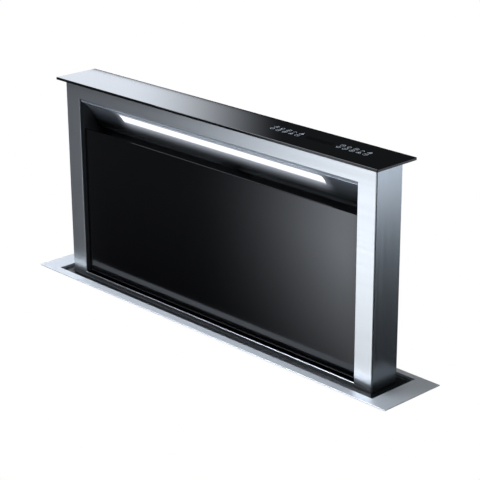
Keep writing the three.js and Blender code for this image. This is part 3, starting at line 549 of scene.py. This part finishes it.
def addArc(bm, centre, radius, width, height, start=0, sweep=360, steps=28):
    # A printed ring, or a part of one: a small upright rectangle spun about the centre
    bar = bmesh.ops.create_grid(bm, x_segments=1, y_segments=1, size=0.5)["verts"]
    bmesh.ops.scale(bm, vec=(width, height, 1), verts=bar)
    upright = (Matrix.Translation(centre) @ Matrix.Rotation(math.radians(start), 4, "Z")
               @ Matrix.Translation((radius, 0, 0)) @ Matrix.Rotation(math.radians(90), 4, "X"))
    bmesh.ops.transform(bm, matrix=upright, verts=bar)
    section, edges = around(bar, "link_faces"), around(bar, "link_edges")
    full = sweep == 360
    if full:  # a whole ring has no end faces, so only the rectangle's edges are spun
        bmesh.ops.delete(bm, geom=section, context="FACES_ONLY")
        section = []
    bmesh.ops.spin(bm, geom=section + edges + bar, cent=centre, axis=(0, 0, 1), angle=math.radians(sweep),
                   steps=steps, use_merge=full)


def addSign(bm, kind, centre, marks):  # shares of the mark's radius r place its strokes
    x, y, z = centre
    r, w, h = marks["radius"], marks["stroke"], marks["height"]
    if kind == "power":
        addArc(bm, centre, r * 0.8, w, h, 130, 280)
        addStroke(bm, (x, y + r * 0.1, z), (x, y + r, z), w, h)
    if kind in ("minus", "plus", "timer"):
        addArc(bm, centre, r, w * 0.8, h)
    if kind in ("minus", "plus"):
        addStroke(bm, (x - r * 0.5, y, z), (x + r * 0.5, y, z), w, h)
    if kind in ("plus", "timer"):
        addStroke(bm, (x, y - (r * 0.5 if kind == "plus" else 0), z), (x, y + r * 0.6, z), w, h)
    if kind == "timer":
        addStroke(bm, (x, y, z), (x + r * 0.5, y, z), w, h)
    if kind == "fan":
        for turn in (90, 210, 330):
            blade = Vector(centre) + Matrix.Rotation(math.radians(turn), 3, "Z") @ Vector((r * 0.55, 0, 0))
            addArc(bm, blade, r * 0.42, w, h)
    if kind == "light":
        addArc(bm, centre, r * 0.7, w, h)
        addStroke(bm, (x - r * 0.4, y - r, z), (x + r * 0.4, y - r, z), w, h)
    if kind == "lift":
        addStroke(bm, (x - r * 0.9, y - r * 0.5, z), (x, y + r * 0.6, z), w, h)
        addStroke(bm, (x, y + r * 0.6, z), (x + r * 0.9, y - r * 0.5, z), w, h)


def makeTouchMarks(marks):  # plain signs only
    signs = ["power", "minus", "plus", "fan", "timer", "minus", "light", "plus", "lift", "fan"] * 2
    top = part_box("lid_glass")[1].z + marks["height"] / 2
    bm = bmesh.new()
    for middle in marks["middles"]:
        for row in marks["rows"]:
            for index in range(marks["count"]):
                x = middle + (index - (marks["count"] - 1) / 2) * marks["pitch"]
                addSign(bm, signs.pop(0), (x, row, top), marks)
    bmesh.ops.recalc_face_normals(bm, faces=bm.faces)
    makePiece(bm, "touchMarks", touchInk, "tower")


displayWindow = {"middle": (232 * mm, 5 * mm), "length": 62 * mm, "width": 13 * mm, "height": 0.02 * mm}


def makeDisplayWindow(window):  # where the level shows through the lid: bare black film
    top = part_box("lid_glass")[1].z
    x, y = window["middle"]
    bm = bmesh.new()
    addBox(bm, (x - window["length"] / 2, y - window["width"] / 2, top),
           (x + window["length"] / 2, y + window["width"] / 2, top + window["height"]))
    makePiece(bm, "displayWindow", displayFilm, "tower")


makeTouchMarks(touchMarks)
makeDisplayWindow(displayWindow)
print("front pieces made")

filterMesh = {
    "border": 14 * mm, "handle": 1.4 * mm, "handleSize": (60 * mm, 10 * mm), "handleLap": 2 * mm,
    "handleEdge": 0.5 * mm, "coreInset": 2 * mm, "cell": (9 * mm, 6 * mm), "strand": 0.7 * mm,
    "softEdge": 0.8 * mm,
}
# the core stands in for the packed mesh layers; its darker aluminium is painted shade between them
packedAluminium = rawAluminium("packedAluminium", "#7d8286", "#5f6468")


def makeFilterStrands(node, low, high, pattern):
    # Expanded mesh: a turned grid cut to the window, every edge a strand.
    # Real cells are 4 × 2 mm; these are drawn 9 × 6 mm so that they show
    across, up = pattern["cell"]
    cells = math.ceil(max((high.x - low.x) / across, (high.z - low.z) / up)) + 2
    bm = bmesh.new()
    bmesh.ops.create_grid(bm, x_segments=2 * cells, y_segments=2 * cells, size=cells)
    bmesh.ops.rotate(bm, matrix=Matrix.Rotation(math.radians(45), 3, "Z"), verts=bm.verts)
    bmesh.ops.scale(bm, vec=(across / math.sqrt(2), up / math.sqrt(2), 1), verts=bm.verts)
    bmesh.ops.rotate(bm, matrix=Matrix.Rotation(math.radians(90), 3, "X"), verts=bm.verts)
    bmesh.ops.translate(bm, vec=((low.x + high.x) / 2, low.y, (low.z + high.z) / 2), verts=bm.verts)
    for place, outward in ((low, (-1, 0, 0)), (high, (1, 0, 0)), (low, (0, 0, -1)), (high, (0, 0, 1))):
        bmesh.ops.bisect_plane(bm, geom=bm.verts[:] + bm.edges[:] + bm.faces[:], plane_co=place,
                               plane_no=outward, clear_outer=True)
    bmesh.ops.wireframe(bm, faces=bm.faces[:], thickness=pattern["strand"], use_replace=True,
                        use_boundary=True)
    makePiece(bm, camelName(node) + "Strands", filterAluminium, "tower")


def makeFilter(node, pattern):  # a rolled frame round a packed core, with a pull at the top of its front
    low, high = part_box(node)
    border, soft, front = pattern["border"], pattern["softEdge"], low.y + pattern["handle"]
    bm = bmesh.new()
    addBox(bm, (low.x, front, low.z), (high.x, high.y, low.z + border), soft)
    addBox(bm, (low.x, front, high.z - border), (high.x, high.y, high.z), soft)
    for left in (low.x, high.x - border):
        addBox(bm, (left, front, low.z + border - mm), (left + border, high.y, high.z - border + mm), soft)
    middle = (low.x + high.x) / 2
    long, tall = pattern["handleSize"]
    top = high.z - border + pattern["handleLap"]
    addBox(bm, (middle - long / 2, low.y, top - tall), (middle + long / 2, front + mm, top),
           pattern["handleEdge"])
    replaceNode(bm, node)
    windowLow = Vector((low.x + border, front + pattern["coreInset"], low.z + border))
    windowHigh = Vector((high.x - border, high.y - pattern["coreInset"], high.z - border))
    core = bmesh.new()
    addBox(core, windowLow, windowHigh)
    # painted shade: the core is a darker copy of the filter's aluminium
    makePiece(core, camelName(node) + "Core", packedAluminium, "tower")
    makeFilterStrands(node, windowLow, windowHigh, pattern)


liftThread = {
    "starts": 2, "lead": 10 * mm, "depth": 1.1 * mm, "base": 2.6 * mm, "crest": 1.5 * mm,
    "sunk": 0.2 * mm, "stepsPerTurn": 10, "barSides": 16,
}


def threadedBar(radius, length, thread):
    # A right-hand trapezoidal thread round a bar on the origin: each start is one profile wound up it
    root = radius - thread["depth"]
    bm = bmesh.new()
    addDisc(bm, (0, 0, length / 2), "Z", root, length, thread["barSides"])
    turns = (length - thread["base"]) / thread["lead"]
    steps = int(turns * thread["stepsPerTurn"])
    for start in range(thread["starts"]):
        profile = bmesh.ops.create_grid(bm, x_segments=1, y_segments=1, size=0.5)["verts"]
        for vert in profile:  # wide at the root, narrow at the crest
            crest = vert.co.x > 0
            half = (thread["crest"] if crest else thread["base"]) / 2
            vert.co = (radius if crest else root - thread["sunk"], 0, half if vert.co.y > 0 else -half)
        place = (Matrix.Rotation(math.tau * start / thread["starts"], 4, "Z")
                 @ Matrix.Translation((0, 0, thread["base"] / 2)))
        bmesh.ops.transform(bm, matrix=place, verts=profile)
        bmesh.ops.spin(bm, geom=around(profile, "link_faces") + profile, cent=(0, 0, 0), axis=(0, 0, 1),
                       dvec=(0, 0, thread["lead"] / thread["stepsPerTurn"]), steps=steps,
                       angle=math.tau * steps / thread["stepsPerTurn"])
    bmesh.ops.recalc_face_normals(bm, faces=bm.faces)
    return bm


def makeLiftScrews(thread):  # both screws have the same thread
    low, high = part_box("lift_screw_left")
    made = threadedBar((high.x - low.x) / 2, high.z - low.z, thread)
    for node in ("lift_screw_left", "lift_screw_right"):
        low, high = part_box(node)
        bm = made.copy()
        bmesh.ops.translate(bm, vec=((low.x + high.x) / 2, (low.y + high.y) / 2, low.z), verts=bm.verts)
        replaceNode(bm, node, 35)
    made.free()


for node in ("grease_filter_left", "grease_filter_right"):
    makeFilter(node, filterMesh)
makeLiftScrews(liftThread)
dressNode("panel_carrier", 0)  # its steps of a tenth of a millimetre leave no room for rounding
print("filters and lift made")

rivet = {"radius": 4 * mm, "crown": 2.4 * mm, "height": 1.6 * mm, "sides": 14, "pitch": 85 * mm,
         "fromSide": 6 * mm, "fromTop": 25 * mm}


def addRivets(bm, places, axis, outward):  # domed heads standing on a face, on the side that outward gives
    wide, narrow = rivet["radius"], rivet["crown"]
    narrowFirst = (axis == "Y") == (outward > 0)
    for place in places:
        middle = Vector(place)
        middle["XYZ".index(axis)] += outward * rivet["height"] / 2
        addDisc(bm, middle, axis, narrow if narrowFirst else wide, rivet["height"], rivet["sides"],
                tip=wide if narrowFirst else narrow)


def spread(low, high, pitch):  # evenly spaced places from low to high, no further apart than the pitch
    gaps = max(1, math.ceil((high - low) / pitch))
    return [low + (high - low) * index / gaps for index in range(gaps + 1)]


swage = {"width": 11 * mm, "height": 2.2 * mm, "softEdge": 2 * mm}


def addSwage(bm, low, high, outward):  # a pressed rib lying along a panel that faces front or rear
    face = low[1]
    near, far = sorted((face - outward * mm, face + outward * swage["height"]))
    addBox(bm, (low[0], near, low[2]), (high[0], far, high[2]), swage["softEdge"])


def addRibs(bm, left, right, face, heights, outward):  # level ribs, each starting at one of the heights
    for z in heights:
        addSwage(bm, (left, face, z), (right, face, z + swage["width"]), outward)


def sideRivets(low, high, face, fromFoot):  # places down both sides of a panel
    columns = (low.x + rivet["fromSide"], high.x - rivet["fromSide"])
    heights = spread(low.z + fromFoot, high.z - rivet["fromTop"], rivet["pitch"])
    return [(x, face, z) for x in columns for z in heights]


rearPanel = {
    "ribs": (-170 * mm, -300 * mm, -430 * mm, -560 * mm), "ribsFromSide": 70 * mm,
    "rivetsFromFoot": 12 * mm, "footRow": 8 * mm, "footRowFromSide": 60 * mm,
}


def dressRear(bm):  # ribs and rivets of the housing's rear
    low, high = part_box("housing_rear")
    side = rearPanel["ribsFromSide"]
    addRibs(bm, low.x + side, high.x - side, high.y, rearPanel["ribs"], 1)
    end, z = rearPanel["footRowFromSide"], low.z + rearPanel["footRow"]
    places = sideRivets(low, high, high.y, rearPanel["rivetsFromFoot"])
    places += [(x, high.y, z) for x in spread(low.x + end, high.x - end, 2 * rivet["pitch"])]
    addRivets(bm, places, "Y", 1)


frontPanel = {
    "upperRibs": (-120 * mm, -250 * mm), "upperMargin": 60 * mm,
    "lowerRibs": (-420 * mm, -530 * mm), "lowerMargin": 40 * mm, "rivetsFromFoot": 110 * mm,
}


def dressFront(bm):  # ribs beside the box and the blower, and rivets, on the housing's front
    low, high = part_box("housing_front")
    upper, lower = frontPanel["upperMargin"], frontPanel["lowerMargin"]
    addRibs(bm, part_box("electronics_box")[1].x + upper, high.x - upper, low.y, frontPanel["upperRibs"], -1)
    addRibs(bm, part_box("blower_casing")[1].x + lower, high.x - lower, low.y, frontPanel["lowerRibs"], -1)
    addRivets(bm, sideRivets(low, high, low.y, frontPanel["rivetsFromFoot"]), "Y", -1)


hem = {
    "width": 14 * mm, "sheet": 0.8 * mm, "softEdge": 0.3 * mm, "fromTop": 3 * mm,
    "rivetsFromFoot": 20 * mm, "rivetsFromTop": 30 * mm,
}


def makeSideHems():  # the front and rear sheets fold round onto the sides and are riveted there
    for node, outward in (("housing_left_side", -1), ("housing_right_side", 1)):
        low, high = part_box(node)
        face = low.x if outward < 0 else high.x
        raised = face + outward * hem["sheet"]
        left, right = sorted((face, raised))
        heights = spread(low.z + hem["rivetsFromFoot"], high.z - hem["rivetsFromTop"], rivet["pitch"])
        bm = nodeCopy(node)
        for near, far in ((low.y - mm, low.y + hem["width"]), (high.y - hem["width"], high.y + mm)):
            addBox(bm, (left, near, low.z + mm), (right, far, high.z - hem["fromTop"]), hem["softEdge"])
            middle = (max(near, low.y) + min(far, high.y)) / 2
            addRivets(bm, [(raised, middle, z) for z in heights], "X", outward)
        replaceNode(bm, node)


casing = {"frameInset": 45 * mm, "rivetsFromEdge": 9 * mm, "endRivetsFrom": 20 * mm, "endPitch": 70 * mm}


def dressCasing(bm):  # a pressed frame on its front, and rivets along its seams
    low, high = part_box("blower_casing")
    inset, width, edge = casing["frameInset"], swage["width"], casing["rivetsFromEdge"]
    left, right, foot, top = low.x + inset, high.x - inset, low.z + inset, high.z - inset
    addRibs(bm, left, right, low.y, (foot, top - width), -1)
    for x in (left, right - width):
        addSwage(bm, (x, low.y, foot + width - mm), (x + width, low.y, top - width + mm), -1)
    across = spread(low.x + edge, high.x - edge, rivet["pitch"])
    upward = spread(low.z + edge, high.z - edge, rivet["pitch"])
    addRivets(bm, [(x, low.y, z) for x in across for z in (low.z + edge, high.z - edge)], "Y", -1)
    addRivets(bm, [(x, low.y, z) for z in upward[1:-1] for x in (low.x + edge, high.x - edge)], "Y", -1)
    end = casing["endRivetsFrom"]
    for y in spread(low.y + end, high.y - end, casing["endPitch"]):
        addRivets(bm, [(high.x, y, low.z + edge), (high.x, y, high.z - edge)], "X", 1)


louvre = {
    "count": 7, "pitch": 9 * mm, "length": 34 * mm, "height": 3.6 * mm, "depth": 2.4 * mm, "sunk": 0.5 * mm,
    "softEdge": 1.5 * mm, "fromMiddle": 25 * mm, "fromTop": 40 * mm, "screwsFromEdge": 8 * mm,
}


def dressCover(bm):  # cooling louvres in two columns, and a screw at each corner
    low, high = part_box("electronics_cover")
    half = louvre["length"] / 2
    for side in (-1, 1):
        middle = (low.x + high.x) / 2 + side * louvre["fromMiddle"]
        for index in range(louvre["count"]):
            z = high.z - louvre["fromTop"] - index * louvre["pitch"]
            addBox(bm, (middle - half, low.y - louvre["depth"], z),
                   (middle + half, low.y + louvre["sunk"], z + louvre["height"]), louvre["softEdge"])
    edge = louvre["screwsFromEdge"]
    addRivets(bm, [(x, low.y, z) for x in (low.x + edge, high.x - edge)
                   for z in (low.z + edge, high.z - edge)], "Y", -1)


bracket = {"sheet": 2.5 * mm, "rivetsFromTop": (18 * mm, 48 * mm)}


def dressBracket(bm, low, high):  # two rivets hold each foot bracket to the housing
    middle = (low.x + high.x) / 2
    places = [(middle, high.y - bracket["sheet"], high.z - drop) for drop in bracket["rivetsFromTop"]]
    addRivets(bm, places, "Y", -1)


ductBead = {"fromEnd": 22 * mm, "radius": 1.8 * mm, "sides": 10, "steps": 48}


def dressCollar(bm):  # the bead that the duct's clip seats behind
    low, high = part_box("outlet_collar")
    centre = Vector((0, (low.y + high.y) / 2, (low.z + high.z) / 2))
    pipe = [v.co for v in cadNodes["outlet_collar"].data.vertices if v.co.x < low.x + mm]
    radius = max(math.hypot(point.y - centre.y, point.z - centre.z) for point in pipe)
    place = Matrix.Translation((low.x + ductBead["fromEnd"], centre.y + radius, centre.z))
    section = bmesh.ops.create_circle(bm, segments=ductBead["sides"], radius=ductBead["radius"],
                                      cap_ends=False, matrix=place)["verts"]
    bmesh.ops.spin(bm, geom=section + around(section, "link_edges"), cent=centre, axis=(1, 0, 0),
                   angle=math.tau, steps=ductBead["steps"], use_merge=True)
    bmesh.ops.remove_doubles(bm, verts=bm.verts, dist=0.001 * mm)
    bmesh.ops.recalc_face_normals(bm, faces=bm.faces)


backScrew = {
    "radius": 3.5 * mm, "height": 0.6 * mm, "softEdge": 0.25 * mm, "sides": 20,
    "fromSide": 10 * mm, "fromEnd": 20 * mm, "pitch": 120 * mm,
}


def dressBack(bm):  # flat-headed screws down both edges of the tower's back; its inward faces get black as painted shade for the shaded inside
    low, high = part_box("tower_back_panel")
    for face in bm.faces:
        # painted shade: faces looking into the tower take the black material
        face.material_index = 1 if face.normal.y < -0.9 else 0
    for x in (low.x + backScrew["fromSide"], high.x - backScrew["fromSide"]):
        for z in spread(low.z + backScrew["fromEnd"], high.z - backScrew["fromEnd"], backScrew["pitch"]):
            addDisc(bm, (x, high.y, z), "Y", backScrew["radius"], backScrew["height"], backScrew["sides"],
                    backScrew["softEdge"])


dressNode("housing_rear", 0.3 * mm, extra=dressRear)
dressNode("housing_front", 0.3 * mm, extra=dressFront)
makeSideHems()
dressNode("blower_casing", 0.4 * mm, extra=dressCasing)
dressNode("electronics_box", 0.4 * mm)
dressNode("electronics_cover", 0.4 * mm, extra=dressCover)
dressNode("outlet_collar", 0.3 * mm, sharperThan=50, smoothAngle=30, extra=dressCollar)
for side in ("left", "right"):
    node = "foot_bracket_" + side
    dressNode(node, 0.3 * mm, sharperThan=50, extra=lambda bm, box=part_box(node): dressBracket(bm, *box))
    dressNode("tower_" + side + "_cheek", 0.2 * mm)
towerBack = dressNode("tower_back_panel", 0.2 * mm, extra=dressBack)
# painted shade: black on the back's inside stands in for the shade inside the tower
towerBack.data.materials.append(blackPowder)  # for its inside
dressNode("tower_wiper_seal", 1.2 * mm)
dressNode("supply_inlet", 0.8 * mm)
print("housing made")


def addStage(name, corners, material, **seenBy):  # seenBy: camera, glossy, diffuse, shadow
    bm = bmesh.new()
    bm.faces.new([bm.verts.new(corner) for corner in corners])
    mesh = bpy.data.meshes.new(name)
    bm.to_mesh(mesh)
    bm.free()
    mesh.materials.append(material)
    plane = bpy.data.objects.new(name, mesh)
    bpy.context.scene.collection.objects.link(plane)
    for ray, seen in seenBy.items():
        setattr(plane, "visible_" + ray, seen)


def softBoxLight(name, strength, tint, fades):
    # Each fade dims the light along an axis: dark and bright are places on it in metres
    material = bpy.data.materials.new(name)
    material.use_nodes = True
    tree = material.node_tree
    tree.nodes.clear()
    emission = addNode(tree, "ShaderNodeEmission", {"Color": hexColour(tint), "Strength": strength})
    share = None
    for fade in fades:
        place = addNode(tree, "ShaderNodeTexCoord")
        along = addNode(tree, "ShaderNodeVectorMath", {0: place.outputs["Object"], 1: fade["along"]},
                        operation="DOT_PRODUCT")
        rise = addNode(tree, "ShaderNodeMapRange", {
            "Value": along.outputs["Value"], "From Min": fade["dark"], "From Max": fade["bright"]},
            interpolation_type="SMOOTHSTEP" if fade.get("smooth") else "LINEAR")
        shaped = addNode(tree, "ShaderNodeMath", {0: rise.outputs["Result"], 1: fade.get("power", 1.0)},
                         operation="POWER")
        full = 1.0 if share else strength
        lifted = addNode(tree, "ShaderNodeMapRange", {
            "Value": shaped.outputs["Value"], "To Min": fade.get("least", 0.0) * full, "To Max": full})
        if share:
            share = addNode(tree, "ShaderNodeMath", {0: share, 1: lifted.outputs["Result"]},
                            operation="MULTIPLY").outputs["Value"]
        else:
            share = lifted.outputs["Result"]
    if share:
        tree.links.new(share, emission.inputs["Strength"])
    addNode(tree, "ShaderNodeOutputMaterial", {"Surface": emission.outputs["Emission"]})
    return material


worktop = {"left": -0.6, "right": 2.6, "front": -2.6, "rear": 0.9, "underFlange": 4 * mm, "rise": 0.02}


def makeWorktop(sheet):
    # White sheets at worktop level in front and to the right hide the housing, as the photograph does.
    # They rise a little away from the flange, so that a level view meets them edge on
    flangeLow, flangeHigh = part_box("worktop_flange")
    white = softBoxLight("worktopWhite", 1.0, "#ffffff", ())
    edge = flangeLow.y + sheet["underFlange"]
    side = flangeHigh.x - sheet["underFlange"]

    def corner(x, y):
        return (x, y, sheet["rise"] * (max(0, x - side) + max(0, edge - y)))

    for name, x, y in (("worktopFront", (sheet["left"], side), (sheet["front"], edge)),
                       ("worktopCorner", (side, sheet["right"]), (sheet["front"], edge)),
                       ("worktopRight", (side, sheet["right"]), (edge, sheet["rear"]))):
        corners = [corner(x[0], y[0]), corner(x[1], y[0]), corner(x[1], y[1]), corner(x[0], y[1])]
        addStage(name, corners, white, glossy=False, diffuse=False, shadow=False)


floor = {"reach": 1.4, "fadeStart": 0.75, "fadeEnd": 1.2}


def makeFloor(sheet):
    # Pale floor under the housing, fading to white away from its middle
    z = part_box("foot_bracket_left")[0].z
    material, tree, shader = startMaterial("paleFloor", "#f2f2f2", Roughness=0.8)
    place = addNode(tree, "ShaderNodeTexCoord")
    flat = addNode(tree, "ShaderNodeVectorMath", {0: place.outputs["Object"], 1: (1, 1, 0)},
                   operation="MULTIPLY")
    distance = addNode(tree, "ShaderNodeVectorMath", {0: flat.outputs["Vector"]}, operation="LENGTH")
    share = addNode(tree, "ShaderNodeMapRange", {
        "Value": distance.outputs["Value"], "From Min": sheet["fadeStart"], "From Max": sheet["fadeEnd"]},
        interpolation_type="SMOOTHSTEP")
    white = addNode(tree, "ShaderNodeEmission", {"Color": (1, 1, 1, 1), "Strength": 1.0})
    mixed = addNode(tree, "ShaderNodeMixShader", {
        0: share.outputs["Result"], 1: shader.outputs["BSDF"], 2: white.outputs["Emission"]})
    tree.links.new(mixed.outputs["Shader"], tree.nodes["Material Output"].inputs["Surface"])
    reach = sheet["reach"]
    corners = [(-reach, -reach, z), (reach, -reach, z), (reach, reach, z), (-reach, reach, z)]
    addStage("floor", corners, material, glossy=False)


skyTones = [(0.0, "#0e0f10"), (0.5, "#25282b"), (0.75, "#33373a"), (1.0, "#bcc2c8")]  # from below up


def makeWorld(tones):  # the camera sees white paper, and the object the sky's tones
    world = bpy.data.worlds.new("studio")
    bpy.context.scene.world = world
    world.use_nodes = True
    tree = world.node_tree
    tree.nodes.clear()
    path = addNode(tree, "ShaderNodeLightPath")
    place = addNode(tree, "ShaderNodeTexCoord")
    parts = addNode(tree, "ShaderNodeSeparateXYZ", {"Vector": place.outputs["Generated"]})
    height = addNode(tree, "ShaderNodeMapRange", {
        "Value": parts.outputs["Z"], "From Min": -1, "From Max": 1})
    sky = addNode(tree, "ShaderNodeValToRGB", {"Fac": height.outputs["Result"]}, stops=tones)
    room = addNode(tree, "ShaderNodeBackground", {"Color": sky.outputs["Color"], "Strength": 1.0})
    paper = addNode(tree, "ShaderNodeBackground", {"Color": (1, 1, 1, 1), "Strength": 1.0})
    mixed = addNode(tree, "ShaderNodeMixShader", {
        0: path.outputs["Is Camera Ray"], 1: room.outputs["Background"], 2: paper.outputs["Background"]})
    addNode(tree, "ShaderNodeOutputWorld", {"Surface": mixed.outputs["Shader"]})


softBoxes = {  # each a sheet of light between two corners, in metres; a fade dims it along an axis
    # Mirrored by the glass: rises to the right, and falls towards the floor
    "glassBox": {"low": (-1.94, -1.25, -1.0), "high": (-0.76, -1.25, -0.24), "strength": 8.6, "fades": [
        {"along": (1, 0, 0), "dark": -1.5, "bright": -0.72, "power": 3.0, "least": 0.01},
        {"along": (0, 0, 1), "dark": -0.84, "bright": -0.38, "power": 1.3, "least": 0.03}]},
    # Mirrored by the header, the left stile and the right one
    "headerBox": {"low": (-2.6, -1.25, -0.24), "high": (-0.76, -1.25, 0.14), "strength": 2.8, "fades": [
        {"along": (1, 0, 0), "dark": -1.22, "bright": -0.86, "smooth": True, "least": 0.05}]},
    "leftStileBox": {"low": (-2.9, -1.25, -1.2), "high": (-1.94, -1.25, -0.24), "strength": 0.15},
    "rightStileBox": {"low": (-0.76, -1.25, -1.3), "high": (0.1, -1.25, 0.14), "strength": 2.0, "fades": [
        {"along": (1, 0, 0), "dark": 0.1, "bright": -0.45, "smooth": True},
        {"along": (0, 0, 1), "dark": 0.14, "bright": 0.0, "smooth": True}], "tint": "#fbfdff"},
    # Mirrored by the lid and the left end of the flange
    "lidBox": {"low": (-3.4, 1.25, 0.87), "high": (0.6, 1.25, 1.15), "strength": 3.7, "fades": [
        {"along": (1, 0, 0), "dark": -1.09, "bright": -1.79, "smooth": True, "least": 0.01}]},
    # Mirrored by the upper end of the right cheek
    "cheekBox": {"low": (1.4, 0.3, -0.2), "high": (1.4, 2.2, 0.3), "strength": 2.0},
    # Above the worktop's left, for the flange
    "flangeBox": {"low": (-1.2, -1.5, 1.3), "high": (-0.2, 0.0, 1.3), "strength": 14.5},
    "topBox": {"low": (0.2, -0.6, 1.7), "high": (1.8, 0.6, 1.7), "strength": 1.0},
    # Behind and to the left, for the back
    "rearBox": {"low": (-2.4, 2.4, -0.8), "high": (1.0, 2.4, 0.6), "strength": 2.6, "tint": "#ffffff"},
    "leftBox": {"low": (-3.6, -0.6, -0.6), "high": (-3.6, 2.2, 1.0), "strength": 1.8, "tint": "#ffffff"},
    # To the right and low, for the housing's side
    "rightBox": {"low": (3.6, -1.4, -0.9), "high": (3.6, 0.5, 0.4), "strength": 1.1, "tint": "#ffffff"},
}
coolWhite = "#eef5ff"


def makeSoftBox(name, box):  # the camera doesn't see it
    low, high = box["low"], box["high"]  # two opposite corners; the sheet is flat along one axis
    second = (high[0], low[1], low[2]) if low[0] != high[0] else (low[0], high[1], low[2])
    fourth = (low[0], low[1], high[2]) if low[2] != high[2] else (low[0], high[1], low[2])
    light = softBoxLight(name, box["strength"], box.get("tint", coolWhite), box.get("fades", ()))
    addStage(name, (low, second, high, fourth), light, camera=False, shadow=False)


makeWorld(skyTones)
makeWorktop(worktop)
makeFloor(floor)
for name, box in softBoxes.items():
    makeSoftBox(name, box)
bpy.context.scene.view_settings.view_transform = "Standard"
print("stage set")
